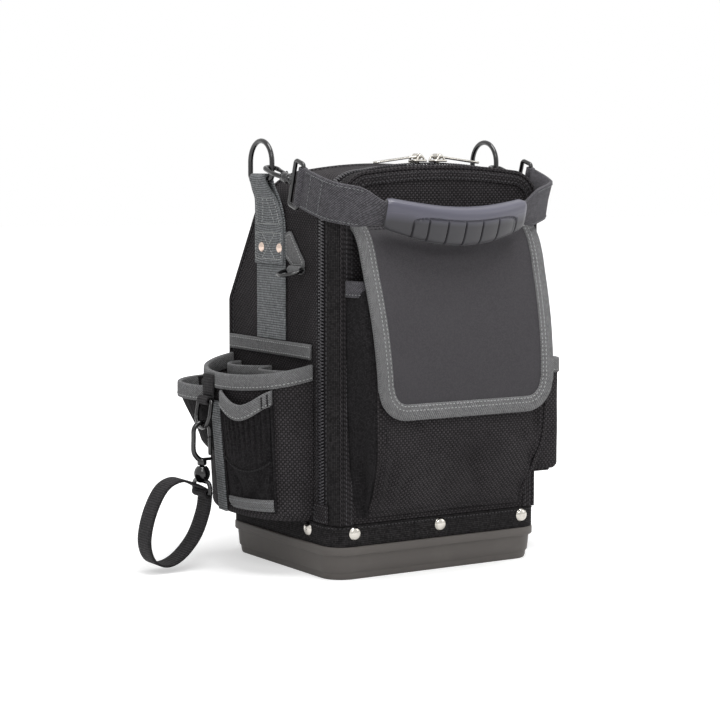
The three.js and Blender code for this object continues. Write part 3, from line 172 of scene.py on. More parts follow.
def moulded(name, base, scuffed, grain, rough, specular=0.5, sheen=0.0, smooth_top_and_painted_light=None):
    """Moulded rubber or plastic: a fine spark-eroded grain, faint clouds and paler scuffs.

    The optional last argument is (colour, from, to): how far across the piece's own map, in millimetres, it turns
    smooth and takes that paler colour, which is painted light.
    """
    made, tree, place = start(name)
    grit = add(tree, "TexNoise", {"Vector": place, "Scale": 1 / (grain * MM), "Detail": 3})
    cloud = add(tree, "TexNoise", {"Vector": place, "Scale": 18, "Detail": 6, "Roughness": 0.65})
    marks = add(tree, "MapRange", {0: cloud, 1: 0.5, 2: 0.72, 3: 0.0, 4: 0.6})
    colour = add(tree, "Mix", {0: marks, 6: hex_colour(base), 7: hex_colour(scuffed)}, 2, data_type="RGBA")
    bump = add(tree, "Bump", {"Height": grit, "Strength": 0.5, "Distance": 0.06 * MM})
    matt = add(tree, "MapRange", {0: cloud, 3: rough - 0.07, 4: rough + 0.07})
    if smooth_top_and_painted_light:
        shade, low, high = smooth_top_and_painted_light
        across = add(tree, "SeparateXYZ", {0: add(tree, "UVMap", uv_map="UVMap")})
        smooth = add(tree, "MapRange", {0: across, 1: low * MM, 2: high * MM})
        # Painted light: the smooth band also takes a paler colour, which stands for the light on the grip's top.
        colour = add(tree, "Mix", {0: smooth, 6: colour, 7: hex_colour(shade)}, 2, data_type="RGBA")
        matt = add(tree, "Mix", {0: smooth, 2: matt, 3: 0.27})
    close(tree, Base_Color=colour, Roughness=matt, Normal=bump, Specular_IOR_Level=specular, Sheen_Weight=sheen)
    return made


def metal(name, base, dull, rough, metallic=1.0, coat=0.0):
    """Plated or enamelled metal: nearly smooth, with fine hairlines and duller spots from handling."""
    made, tree, place = start(name)
    hairs = add(tree, "TexNoise", {"Vector": place, "Scale": 700, "Detail": 2})
    cloud = add(tree, "TexNoise", {"Vector": place, "Scale": 120, "Detail": 4})
    spots = add(tree, "MapRange", {0: cloud, 1: 0.5, 2: 0.7, 3: 0.0, 4: 0.7})
    colour = add(tree, "Mix", {0: spots, 6: hex_colour(base), 7: hex_colour(dull)}, 2, data_type="RGBA")
    bump = add(tree, "Bump", {"Height": hairs, "Strength": 0.15, "Distance": 0.02 * MM})
    matt = add(tree, "MapRange", {0: cloud, 3: rough * 0.8, 4: rough * 1.3})
    close(tree, Base_Color=colour, Metallic=metallic, Roughness=matt, Normal=bump, Coat_Weight=coat, Coat_Roughness=0.1)
    return made


def twisted(name, base, shadow):
    """Bonded sewing thread: two shades along its twist."""
    made, tree, place = start(name)
    twist = add(tree, "TexNoise", {"Vector": place, "Scale": 1500, "Detail": 1})
    colour = add(tree, "Mix", {0: twist, 6: hex_colour(base), 7: hex_colour(shadow)}, 2, data_type="RGBA")
    close(tree, Base_Color=colour, Roughness=0.7, Specular_IOR_Level=0.3)
    return made


# Cloths. The real threads are 0.5 to 0.7 mm apart; every weave and rib here is drawn two to four times coarser,
# so that it still shows at the photograph's size.

# 1680 denier nylon in a basket weave: near black, with a regular sparkle where the flat threads catch the light
BALLISTIC_NYLON = woven("ballistic_nylon", "010101", "504d4f", "201e1f", 2.1, depth=0.6, rough=0.8, sheen=0.0,
                        specular=0.07, fleck=0.45, pairs=0.75)
# Seat-belt cloth in fine ribs: the deepest black, quite dull, so that the zip and the rivets stand out on it
BELT_NYLON = woven("belt_nylon", "030303", "3b393a", "201f20", (1.5, 1.8), rib=0.3, sheen=0.0, specular=0.1)
# Plain-woven lining: a flat black that reads as shade inside the pockets, and painted shade on the front pocket's side
# panels, which turn away into shadow
LINING_AND_SHADE_NYLON = woven("lining_and_shade_nylon", "040404", "353335", "1c1b1c", 1.5, rough=0.88, sheen=0.0, specular=0.12)
# Textured nylon webbing: mid grey with clear cross ribs, the palest cloth on the bag
GREY_WEBBING = woven("grey_webbing", "343638", "9a9d9f", "75787a", (1.3, 2.2), depth=0.5, rib=0.6, fleck=0.3)
# Heavy herringbone webbing of the handle: slanted ribs, a darker and slightly violet grey
CARRY_WEBBING = woven("carry_webbing", "252427", "6c6a6f", "525055", (1.5, 1.9), skew=0.6, depth=0.4, rib=0.25,
                      fleck=0.3)
# Binding tape, folded over the edges: a diagonal weave that outlines each mouth in even grey
GREY_TAPE = woven("grey_tape", "373738", "929293", "6e6e6f", 1.5, skew=np.pi / 4, depth=0.3, fleck=0.25)
# Polyester webbing of the thong: strong ribs and a slight gloss on black
BLACK_WEBBING = woven("black_webbing", "060606", "3a383a", "201f21", (1.3, 2.4), depth=0.7, rib=0.75, rough=0.75,
                      sheen=0.0, specular=0.2)
# Elastic rib knit of the rear pocket: flat cells that look stretched, in dull black
ELASTIC_RIB = woven("elastic_rib", "050505", "363435", "1c1b1d", (2.0, 1.2), depth=0.6, rough=0.8, sheen=0.0,
                    specular=0.15)
# Polyurethane-coated cloth of the flap: almost plain charcoal with a satin bloom
COATED_CLOTH = woven("coated_cloth", "39373a", "434144", "464447", 0.9, depth=0.04, rough=0.6, sheen=0.05,
                     specular=0.2, fleck=0.7)
# Injection-moulded thermoplastic rubber: a warm, matt grey foot with paler scuffs
BASE_RUBBER = moulded("base_rubber", "66625f", "706c68", 0.5, 0.55, specular=0.2)
# Soft-touch grip: dark and satin on its pads, and smooth over its top, where a hand polishes it; the violet grey over
# its top is paler because light from above is painted into it
GRIP_RUBBER = moulded("grip_rubber", "37363a", "403f44", 0.35, 0.42, specular=0.4, sheen=0.2,
                      smooth_top_and_painted_light=("5c5b68", -24, -15))
# Coiled nylon of the zip: smooth loops whose gloss shows each turn
ZIP_NYLON = moulded("zip_nylon", "3e3c40", "545257", 0.6, 0.28)
# Nickel plate: bright, slightly warm mirrors on rivets, sliders and pulls
NICKEL = metal("polished_nickel", "c6c2bb", "9f9b94", 0.18)
# Brushed copper plate: the pinkish heads on the side straps
COPPERY = metal("coppery_rivet", "d3bfb2", "a98f80", 0.25)
# Stove enamel on steel wire: glossy black with hard, narrow lights
BLACK_ENAMEL = metal("black_enamel", "09090a", "141416", 0.2, metallic=0.0, coat=0.25)
# Bonded nylon thread. Real thread is 0.4 mm thick; most of it is drawn twice as thick, or it would vanish.
PALE_THREAD = twisted("pale_thread", "9b9d9e", "6f7173")  # soft grey dashes on the webbing
WHITE_THREAD = twisted("white_thread", "c6c7c6", "9a9c9c")  # the bright dashes that outline the bindings
DARK_THREAD = twisted("dark_thread", "0c0b0c", "1e1d1f")  # black bar tacks, seen as small ridges
GREY_THREAD = twisted("grey_thread", "5a595c", "39383a")  # seams that barely show on the black cloth

# Points and lines


def xyz(x, y, z):
    """Points from coordinates that are spread over one another."""
    return np.stack(np.broadcast_arrays(x, y, z), -1)


def lay(flat, axis, value):
    """Flat points given their third coordinate, in its place: axis 0 for x, 1 for y, 2 for z."""
    return np.insert(np.asarray(flat, float), axis, value, axis=-1)


def unit(v):
    """Vectors of length one."""
    return v / np.maximum(np.linalg.norm(v, axis=-1, keepdims=True), 1e-9)


def lengths(path, axis=0):
    """Length run from the start of a path, or of each line of a grid, at each of its points."""
    spans = np.linalg.norm(np.diff(path, axis=axis), axis=-1)
    return np.insert(np.cumsum(spans, axis=axis), 0, 0, axis=axis)


def along(path, shares):
    """Points at given shares of a path's length, straight between its own points; a count gives even steps."""
    path = np.asarray(path, float)
    shares = np.linspace(0, 1, shares) if isinstance(shares, int) else shares
    run = lengths(path)
    return np.stack([np.interp(shares * run[-1], run, column) for column in path.T], -1)


def curved(points, count):
    """A smooth path through a few points: a cubic through each four neighbours, then even steps."""
    points = np.asarray(points, float)
    wide = np.vstack([2 * points[0] - points[1], points, 2 * points[-1] - points[-2]])
    t = np.linspace(0, 1, 24, endpoint=False)[:, None]
    a, b, c, d = (wide[i : i + len(points) - 1, None] for i in range(4))
    bits = 0.5 * (2 * b + (c - a) * t + (2 * a - 5 * b + 4 * c - d) * t**2 + (3 * b - a - 3 * c + d) * t**3)
    return along(np.vstack([bits.reshape(-1, points.shape[1]), points[-1:]]), count)


def arc(centre, radius, start, end, count):
    """Points of a circle's arc, angles in degrees."""
    turn = np.radians(np.linspace(start, end, count))
    return np.asarray(centre) + radius * np.stack([np.cos(turn), np.sin(turn)], -1)


def rounded(half_x, half_y, radius, count=10):
    """A rounded rectangle's outline, anticlockwise: four quarter circles joined by straight sides."""
    x, y = half_x - radius, half_y - radius
    corners = (((x, y), 0), ((-x, y), 90), ((-x, -y), 180), ((x, -y), 270))
    return np.vstack([arc(centre, radius, turn, turn + 90, count) for centre, turn in corners])


def full_turn(sides):
    """The angles of a ring's corners, as a column."""
    return np.linspace(0, 2 * np.pi, sides, endpoint=False)[:, None]


def smoothstep(x, low, high):
    """Eased from 0 at low to 1 at high."""
    t = np.clip((x - low) / (high - low), 0, 1)
    return t * t * (3 - 2 * t)


def level_out(edge, centre):
    """Level directions square to an edge, away from a centre."""
    out = np.cross(unit(np.gradient(edge, axis=0)), [0, 0, 1])
    return out * np.sign(np.sum(out * (edge - centre), -1, keepdims=True))


def square_to(path):
    """Directions square to a flat path, in its plane and to its left."""
    return unit(np.gradient(path, axis=0))[:, ::-1] * [-1, 1]


def turned(points, angle, about):
    """Points turned about the y direction through a point of x and z, in degrees."""
    a = np.radians(angle)
    x, z = points[..., 0] - about[0], points[..., 2] - about[1]
    return xyz(about[0] + x * np.cos(a) + z * np.sin(a), points[..., 1], about[1] - x * np.sin(a) + z * np.cos(a))


def ripple(a, b, size, seed):
    """A shallow, even unrest of cloth: three crossing waves."""
    return size * (np.sin(a * 0.043 + seed) * np.cos(b * 0.031 + 2 * seed) + 0.5 * np.sin(a * 0.09 + b * 0.05 + seed)
                   + 0.3 * np.cos(b * 0.12 - a * 0.03 + 3 * seed)) / 1.8


def creases(points, folds):
    """How far soft folds lift or sink the cloth. Each is (start, end, width, size): size times a bell curve of the
    distance from the line between start and end, faded at both ends."""
    lift = 0.0
    for start, end, width, size in folds:
        start, way = np.asarray(start, float), np.subtract(end, start).astype(float)
        share = np.clip(((points - start) @ way) / (way @ way), 0, 1)
        off = np.linalg.norm(points - (start + share[..., None] * way), axis=-1)
        faded = np.sin(np.pi * np.clip(share * 0.92 + 0.04, 0, 1)) ** 0.5
        lift = lift + size * np.exp(-((off / width) ** 2)) * faded
    return lift


# Meshes from arrays of points


def face_map(ring):
    """Map coordinates of a nearly flat ring of points: the two ways in which it spreads most."""
    return ring[:, np.sort(np.argsort(np.ptp(ring, 0))[1:])]


def put(name, points, quads, uv, finish, body, caps, stands_for=()):
    """Writes a mesh in metres, gives it its finish, and lets it ride on its body."""
    mesh = bpy.data.meshes.new(name)
    points = np.asarray(points).reshape(-1, 3)
    mesh.from_pydata((points * MM).tolist(), [], quads.tolist() + [list(map(int, cap)) for cap in caps])
    flat = np.vstack([np.asarray(uv).reshape(-1, 2), *(face_map(points[list(cap)]) for cap in caps)])
    mesh.uv_layers.new(name="UVMap").data.foreach_set("uv", (flat * MM).ravel())
    mesh.polygons.foreach_set("use_smooth", np.ones(len(mesh.polygons), bool))
    mesh.materials.append(finish)
    mesh.update()
    made = link(bpy.data.objects.new(name, mesh))
    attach(made, body)
    if stands_for:
        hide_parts(*stands_for)
    return made


def grid_faces(rows, cols, wrap):
    """Corner numbers of a grid's quads, and each corner's row and column before wrapping."""
    r, c = np.meshgrid(np.arange(rows + wrap[0]), np.arange(cols + wrap[1]), indexing="ij")
    near, far = slice(None, -1), slice(1, None)
    corners = ((near, near), (near, far), (far, far), (far, near))
    rows_at, cols_at = (np.stack([at[k] for k in corners], -1).reshape(-1, 4) for at in (r, c))
    return (rows_at % rows) * cols + cols_at % cols, rows_at, cols_at


def sheet_uv(points, wrap):
    """Map coordinates of a grid in millimetres: the length run along its lines, from their middle."""
    wide = points
    if wrap[0]:
        wide = np.concatenate([wide, wide[:1]], 0)
    if wrap[1]:
        wide = np.concatenate([wide, wide[:, :1]], 1)
    across, down = lengths(wide, 1), lengths(wide, 0)
    return np.stack([across - across[:, -1:] / 2, down], -1)


def surface(name, points, finish, body, stands_for=(), wrap=(False, False), away=None, caps=False, wall=0.0):
    """A grid of points as a mesh: rows run down it and columns across.

    Its faces are turned away from the point `away`, or outwards by its volume. wall gives an open sheet
    its thickness inwards. caps close the ends of a tube whose columns wrap.
    """
    points = np.asarray(points, float)
    rows, cols = points.shape[:2]
    quads, rows_at, cols_at = grid_faces(rows, cols, wrap)
    uv = sheet_uv(points, wrap)[rows_at, cols_at]
    flat = points.reshape(-1, 3)
    ends = [list(range(cols))[::-1], list(range((rows - 1) * cols, rows * cols))] if caps else []
    corner = flat[quads]
    facing = np.cross(corner[:, 2] - corner[:, 0], corner[:, 3] - corner[:, 1])
    origin = flat.mean(0) if away is None else np.asarray(away, float)
    if np.sum(facing * (corner.mean(1) - origin)) < 0:
        quads, uv = quads[:, ::-1], uv[:, ::-1]
        ends = [end[::-1] for end in ends]
    made = put(name, flat, quads, uv, finish, body, ends, stands_for)
    if wall:
        thick = made.modifiers.new("wall", "SOLIDIFY")
        thick.thickness, thick.offset, thick.use_even_offset = wall * MM, -1, True
    return made


def solid(name, rings, finish, body, stands_for=(), closed=False):
    """Rings of points as a closed piece: a tube with capped ends, or with closed a ring of sections."""
    return surface(name, rings, finish, body, stands_for, wrap=(closed, True), caps=not closed)


def rods(name, rings, finish, body, inside_out):
    """Many short closed rods as one mesh. rings holds their points: rod, ring, corner."""
    count, high, sides = rings.shape[:3]
    quads, rows_at, cols_at = grid_faces(high, sides, (False, True))
    first = high * sides * np.arange(count)[:, None, None]
    ends = np.array([np.arange(sides)[::-1], (high - 1) * sides + np.arange(sides)])
    quads, ends = (quads + first).reshape(-1, 4), (ends + first).reshape(-1, sides)
    uv = np.tile(np.stack([cols_at * 0.4, rows_at * 0.7], -1), (count, 1, 1))
    if inside_out:
        quads, ends, uv = quads[:, ::-1], ends[:, ::-1], uv[:, ::-1]
    return put(name, rings, quads, uv, finish, body, ends)


def tube(name, path, radius, normal, finish, body, stands_for=(), closed=False, sides=14):
    """A round wire along a path in a plane: p + r (cos a * side + sin a * normal). radius may change along it."""
    path = np.asarray(path, float)
    tangent = np.roll(path, -1, 0) - np.roll(path, 1, 0) if closed else np.gradient(path, axis=0)
    side = unit(np.cross(unit(tangent), np.asarray(normal, float)))
    turn = full_turn(sides)
    radius = np.broadcast_to(np.asarray(radius, float).reshape(-1, 1, 1), (len(path), 1, 1))
    rings = path[:, None] + radius * (np.cos(turn) * side[:, None] + np.sin(turn) * np.asarray(normal, float))
    return solid(name, rings, finish, body, stands_for, closed)


def piping(name, path, radius, finish, body):
    """A cord along a path in space: rings square to the path, started square to the y direction."""
    tangent = unit(np.gradient(path, axis=0))
    side = unit(np.cross(ACROSS_Y, tangent))
    turn = full_turn(12)
    across = np.cos(turn) * side[:, None] + np.sin(turn) * np.cross(tangent, side)[:, None]
    return solid(name, path[:, None] + radius * across, finish, body)


def ribbon(name, path, across, half, thick, finish, body, stands_for=(), closed=False):
    """Flat webbing along a path: a section with rounded edges, half the width to each side of the path."""
    path = np.asarray(path, float)
    across = unit(np.broadcast_to(np.asarray(across, float), path.shape))
    way = np.roll(path, -1, 0) - np.roll(path, 1, 0) if closed else np.gradient(path, axis=0)
    normal = unit(np.cross(unit(way), across))
    half = np.broadcast_to(np.asarray(half, float), (len(path),))[:, None, None]
    t = thick / 2
    a = np.array([-1, -1, -0.6, 0, 0.6, 1, 1, 1, 1, 0.6, 0, -0.6, -1, -1])
    edge = np.array([0, -0.5, 0, 0, 0, -0.5, 0, 0, -0.5, 0, 0, 0, -0.5, 0]) * t
    b = np.array([-0.25, -1, -1, -1, -1, -1, -0.25, 0.25, 1, 1, 1, 1, 1, 0.25]) * t
    wide = a[None, :, None] * half + (np.sign(a) * edge)[None, :, None]
    points = path[:, None] + wide * across[:, None] + b[None, :, None] * normal[:, None]
    return solid(name, points, finish, body, stands_for, closed)


def eye(name, centre, radius, y, half, thick, finish, body, count=32):
    """A closed loop of webbing or metal strip round a bar that runs along y."""
    line = arc(centre, radius, 0, 360, count + 1)[:-1]
    ribbon(name, lay(line, 1, y), ACROSS_Y, half, thick, finish, body, closed=True)


def lathe(profile, at, axis, sides=24, aim=(0.31, 0.95, 0.12)):
    """Rings of a profile (radius, distance) turned about an axis through a point; aim says where they start."""
    axis = unit(np.asarray(axis, float))
    side = unit(np.cross(axis, aim))
    turn = full_turn(sides)
    across = np.cos(turn) * side + np.sin(turn) * np.cross(axis, side)
    return np.array([np.asarray(at) + h * axis + r * across for r, h in profile])


def prism(outline, low, high, rounding):
    """Rings of a flat outline raised from low to high, drawn in a little at both ends for a soft edge."""
    outline = np.asarray(outline, float)
    way = unit(outline - outline.mean(0))
    steps = ((low, rounding), (low + rounding, 0), (high - rounding, 0), (high, rounding))
    return np.array([lay(outline - way * inset, 2, height) for height, inset in steps])


def plate(name, outline, x, side, thick, rounding, finish, stands_for=()):
    """A flat piece that lies on one side of the bag, x out from its middle; its outline is in y and z."""
    rings = prism(outline, 0, thick, rounding)
    solid(name, xyz(side * (x + rings[..., 2]), rings[..., 0], rings[..., 1]), finish, "bag", stands_for)


def rivet(node, at, outward, finish, radius, height, seat):
    """A rivet's domed head: a quarter ellipse turned about its axis, over a thin flange, on a closed foot."""
    profile = [(0.3, seat - 0.8), (radius * 0.6, seat - 0.8), (radius, seat), (radius * 1.03, seat + 0.25)]
    profile += [(radius * np.cos(a), seat + 0.3 + height * np.sin(a)) for a in np.radians([0, 18, 36, 54, 72, 84])]
    solid(f"{node}_head", lathe(profile, at, outward, 20, (0, 0, 1)), finish, "bag", [node])


def d_ring(name, body, node, bar, y, half, corner, height, radius, lean=0, sides=14):
    """A D-ring of round wire on a bar that runs along y at x and z: its outline stands up from the bar, leant over
    by degrees. half is half its width, and corner the radius of the turns at the bar's ends."""
    line = np.vstack([arc((0, height - half), half, 0, 180, 26), arc((-half + corner, corner), corner, 180, 270, 7),
                      arc((half - corner, corner), corner, 270, 360, 7)])
    path = turned(xyz(bar[0], y + line[:, 0], bar[1] + line[:, 1]), lean, bar)
    tube(name, path, radius, turned(np.array([1.0, 0, 0]), lean, (0, 0)), BLACK_ENAMEL, body, [node], True, sides)


def stitches(name, lines, body, finish, stitch=3.0, gap=1.3, thick=0.42):
    """Rows of stitches. Each is a short round rod whose ends dip into the cloth.

    lines holds (points, normals) of each row; a stitch's middle stands at half its thickness, and its
    rings lie at shares -1, -0.6, 0, 0.6, 1 of its half length with radii 0.35, 0.9, 1, 0.9, 0.35.
    """
    middles, ways, ups = [], [], []
    for path, normal in lines:
        path = np.asarray(path, float)
        run = lengths(path)
        count = max(1, int(round(run[-1] / (stitch + gap))))
        shares = (np.arange(count) + 0.5) / count
        near = 0.2 / max(run[-1], 1)
        middles.append(along(path, shares))
        ways.append(unit(along(path, np.minimum(shares + near, 1)) - along(path, np.maximum(shares - near, 0))))
        normal = np.broadcast_to(np.asarray(normal, float), path.shape)
        ups.append(unit(np.stack([np.interp(shares * run[-1], run, column) for column in normal.T], -1)))
    middle, way, up = (np.concatenate(v)[:, None, None] for v in (middles, ways, ups))
    share, radius, lift = (np.array(v)[None, :, None, None] for v in (
        [-1, -0.6, 0, 0.6, 1.0], [0.35, 0.9, 1, 0.9, 0.35], [-0.5, 0.25, 0.45, 0.25, -0.5]))
    turn = full_turn(6)
    across = np.cos(turn) * unit(np.cross(way, up)) + np.sin(turn) * up
    return rods(name, middle + share * stitch / 2 * way + thick * (lift * up + radius * across), finish, body, True)


def bound(name, edge, outward, wall, height, finish, body, stands_for=(), thick=1.3, row=None, thread=WHITE_THREAD):
    """Binding folded over an edge: a soft U section carried along it.

    The section's points are (distance out from the wall's face, height over the edge); row is the
    height of its row of stitches, which lies on the outer side.
    """
    t, w = thick, wall
    section = np.array([(t * 0.7, -height), (t, -height + 0.5), (t * 1.05, -height / 2), (t, -0.6),
                        (t * 0.75, t * 0.55), (0, t), (-w, t), (-w - t * 0.75, t * 0.55), (-w - t, -0.6),
                        (-w - t, -height + 1), (-w - t * 0.7, -height + 0.5)])
    points = edge[:, None] + section[None, :, :1] * outward[:, None] + lay(np.zeros((11, 2)), 2, section[:, 1])
    solid(name, points, finish, body, stands_for)
    if row:
        line = edge + outward * t * 1.03 + [0, 0, row]
        stitches(f"{name}_stitching", [(line, outward)], body, thread, stitch=2.2, gap=1.5, thick=0.42)


# Moulded base and the band riveted into it


def base():
    """The moulding's profile carried round its rounded rectangle: foot bead, drawn-in wall, overhanging rim,
    then the upstand and the hollow inside.

    outside holds a height and how far the wall is drawn in there; rows hold half width, half depth, corner
    radius and height.
    """
    outside = [(0, 0.98), (0.5, 0.93), (1.6, 0.87), (4.4, 0.80), (5.6, 0.79), (6.4, 0.76), (7.0, 0.67), (7.8, 0.58),
               (15, 0.48), (21.6, 0.39), (22.4, 0.34), (22.8, 0.18), (23.0, 0.05), (23.6, 0.0), (27, 0.0), (29.2, 0.0),
               (30.1, 0.05), (30.5, 0.16)]
    rows = [(105, 84, 16, 0.0)]
    rows += [(116 - 5.7 * i, 97 - 7.5 * i, 24 - 4 * i, z) for z, i in outside]
    rows += [(111, 92.6, 17, 30.5), (110.7, 92.3, 16.4, 30.8), (110.7, 92.3, 16.4, 46.6), (110.2, 91.8, 16.2, 47),
             (108, 89.6, 13.8, 47), (107.7, 89.3, 13.4, 46.6), (107.7, 89.3, 13.4, 23), (107.1, 86.5, 13.4, 6),
             (105.5, 85, 12, 4.2), (100, 80, 8, 4)]
    solid("base", [lay(rounded(a, b, r), 2, z) for a, b, r, z in rows], BASE_RUBBER, "bag", ["base_tray"])


def belt():
    """The black cloth band above the base: a closed flat section with folded edges, carried round."""
    half_x, half_y, radius = 114.2, 95.8, 20
    section = [(0, 30.9), (0, 36), (0, 45), (0, 49.2), (0.5, 49.9), (1.6, 50), (2.7, 49.9), (3.2, 49), (3.3, 40),
               (3.2, 31)]
    rings = [lay(rounded(half_x - d, half_y - d, radius - d, 12), 2, z) for d, z in section]
    solid("belt", rings, BELT_NYLON, "bag", ["lower_band"], closed=True)
    outline = rounded(half_x, half_y, radius, 12)
    outline = np.vstack([outline, outline[:1]])
    core = [half_x - radius - 0.2, half_y - radius + 0.2]
    out = lay(unit(outline - np.clip(outline, np.negative(core), core)), 2, 0)
    stitches("belt_stitching", [(lay(outline, 2, 47.4), out)], "bag", GREY_THREAD, stitch=2.4, gap=1.2, thick=0.36)
    seam = [(xyz(x, -95.9, np.array([31.4, 49.4])), FORWARD) for x in (-27.4, -26.2)]
    stitches("belt_seam", seam, "bag", DARK_THREAD, stitch=2.2, gap=0.0, thick=0.45)


def base_rivets():
    """Domed heads in the band: three in front, three behind and one on each side."""
    size = {"radius": 5.9, "height": 2.7, "seat": 0.25}
    for row, y in (("front", -1), ("back", 1)):
        for name, i in (("left", -1), ("centre", 0), ("right", 1)):
            rivet(f"rivet_{row}_{name}", (92 * i, y * 95.9, 42.5), (0, y, 0), NICKEL, **size)
    for name, side in SIDES:
        rivet(f"rivet_side_{name}", (114.3 * side, -53, 42.5), (side, 0, 0), NICKEL, **size)


# Sewn body


def arch(half, top, radius, crown, bottom, count):
    """The bag's arch seen from the front, right foot to left: legs, round shoulders, crowned top; even steps."""
    shoulder = half - radius
    x = np.linspace(shoulder, -shoulder, 41)
    crowned = np.column_stack([x, top - crown * (x / shoulder) ** 2])
    right = arc((shoulder, top - crown - radius), radius, 0, 90, 16)
    left = arc((-shoulder, top - crown - radius), radius, 90, 180, 16)
    return along(np.vstack([[half, bottom], right[:-1], crowned, left[1:], [-half, bottom]]), count)


def body_arch(inset=0.0, bottom=50.3, count=160):
    """The arch of the body's cloth, in x and z."""
    return arch(113 - inset, 368 - inset, 40 - inset, 6, bottom, count)


def face_arch(inset=0.0, count=160):
    """The arch of the front face, in x and z."""
    return arch(107.5 - inset, 368.2 - inset, 29.5 - inset, 4.7, 50.3, count)


def under_arch(arch_of, inset, half, count):
    """x and z of a grid that fills an arch: columns, closer at the sides, which run from the foot up to it."""
    share = np.sin(np.linspace(-np.pi / 2, np.pi / 2, count))
    outline = arch_of(inset, count=600)[::-1]
    top = np.interp(share * (half - inset - 0.4), *outline.T)
    z = SEWN_FOOT + np.linspace(0, 1, count)[:, None] * (top - 0.3 - SEWN_FOOT)
    return np.broadcast_to(share * (half - inset), z.shape), z


def back_at(z):
    """Depth of the back panel: upright to a knee, then leaning forward."""
    return 93 - np.maximum(z - 242, 0) * 0.6116


def arch_out():
    """Directions out of the body's arch at 300 steps."""
    return lay(unit(body_arch(count=300) - ARCH_MIDDLE), 1, 0)


def gusset():
    """The cloth round the sides and top, from the zip to the back: the arch carried back to the back seam."""
    path, zip_edge = body_arch(), -68.6
    x, z = path.T
    y = zip_edge + np.linspace(0, 1, 34)[:, None] * (back_at(z) - 1.0 - zip_edge)
    inward = unit(ARCH_MIDDLE - path).T
    push = -0.45 + np.minimum(ripple(y, z + x * 0.5, 0.4, 1.3), 0.35)
    points = xyz(x - inward[0] * push, y, np.maximum(z - inward[1] * push, SEWN_FOOT))
    surface("gusset", points, BALLISTIC_NYLON, "bag", ["body_gusset"], away=INSIDE, wall=3.2)
    edge = body_arch(0.8, count=300)
    piping("back_piping", lay(edge, 1, back_at(edge[:, 1]) - 1.5), 2.2, BALLISTIC_NYLON, "bag")
    line = body_arch(-0.1, count=300)
    rows = [(lay(line, 1, y), arch_out()) for y in (-66.2, back_at(line[:, 1]) - 6.5)]
    stitches("gusset_stitching", rows, "bag", GREY_THREAD)


def back():
    """The back panel, upright and then leaning."""
    x, z = under_arch(body_arch, 1.7, 113, 60)
    y = back_at(z) - 0.2 + np.minimum(ripple(x, z, 0.5, 2.1), 0)
    surface("back", xyz(x, y, z), BALLISTIC_NYLON, "bag", ["back_panel"], away=INSIDE, wall=2.9)


def organiser():
    """Three open cells inside the back: a wavy front sheet and its floor and walls, as one closed section."""
    x = np.linspace(-98, 98, 73)
    front = 72.6 - 2.2 * np.abs(np.sin((x + 98) / 196 * 3 * np.pi)) ** 0.5
    z = np.array([52.2, 53.5, 60, 100, 150, 164.3, 164.9, 164.9, 164.3, 150, 100, 60, 55.2])[:, None]
    behind = np.array([0.3, 0, 0, 0, 0, 0, 0.5, 1.4, 1.9, 1.9, 1.9, 1.9, 1.9])[:, None]
    surface("organiser_front", xyz(x, front + behind, z), LINING_AND_SHADE_NYLON, "bag", ["inner_pocket"], away=(0, 200, 100))
    for i, at in enumerate((-98, -32.2, 33.3, 98)):
        side = xyz(at, [72.5, 80, 89], [[52.5], [108], [164.6]])
        surface(f"organiser_wall_{i}", side, LINING_AND_SHADE_NYLON, "bag", away=(at - 50, 80, 100), wall=1.8)
    floor = xyz([-97.5, 0, 97.5], [[71], [80], [89]], 54.4)
    surface("organiser_floor", floor, LINING_AND_SHADE_NYLON, "bag", away=(0, 80, 0), wall=1.8)


# Door: everything in front of the zip


def door_gusset():
    """The rounded step from the zip to the face: the body's arch eased into the face's arch along a quarter round."""
    a = np.linspace(0, 1, 12)[:, None]
    outer, inner = body_arch(), face_arch()
    flat = outer + (1 - np.cos(a * np.pi / 2) ** 0.75)[..., None] * (inner - outer)
    points = xyz(flat[..., 0], -79.8 - 15.2 * a, np.maximum(flat[..., 1], SEWN_FOOT))
    surface("door_gusset", points, BELT_NYLON, "front_door", ["front_gusset"], away=INSIDE, wall=2.6)
    piping("face_piping", lay(face_arch(2.2, 300), 1, -94.6), 2.2, BALLISTIC_NYLON, "front_door")
    line = lay(body_arch(-0.05, count=300), 1, -81.6)
    stitches("door_gusset_stitching", [(line, arch_out())], "front_door", GREY_THREAD)


def door_panel():
    """The flat face inside the piping, with a stitched seam strip along its sides and top."""
    x, z = under_arch(face_arch, 4.1, 107.5, 50)
    surface("door_panel", xyz(x, FACE_Y, z), BALLISTIC_NYLON, "front_door", ["front_panel"], away=INSIDE, wall=2.6)
    strip = ((4.0, 0.2), (4.4, 0.9), (8, 1.1), (13.2, 1.0), (13.8, 0.6), (13.9, -0.3))
    rings = [lay(face_arch(inset, 300), 1, FACE_Y - out) for inset, out in strip]
    surface("door_facing", rings, BALLISTIC_NYLON, "front_door", away=INSIDE)
    rows = [(lay(face_arch(inset, 300), 1, FACE_Y - 1.1), FORWARD) for inset in (6.2, 11.6)]
    stitches("door_panel_stitching", rows, "front_door", GREY_THREAD, stitch=2.4, gap=1.3, thick=0.4)


# Zip: two tapes, two rows of coils, patches over its ends


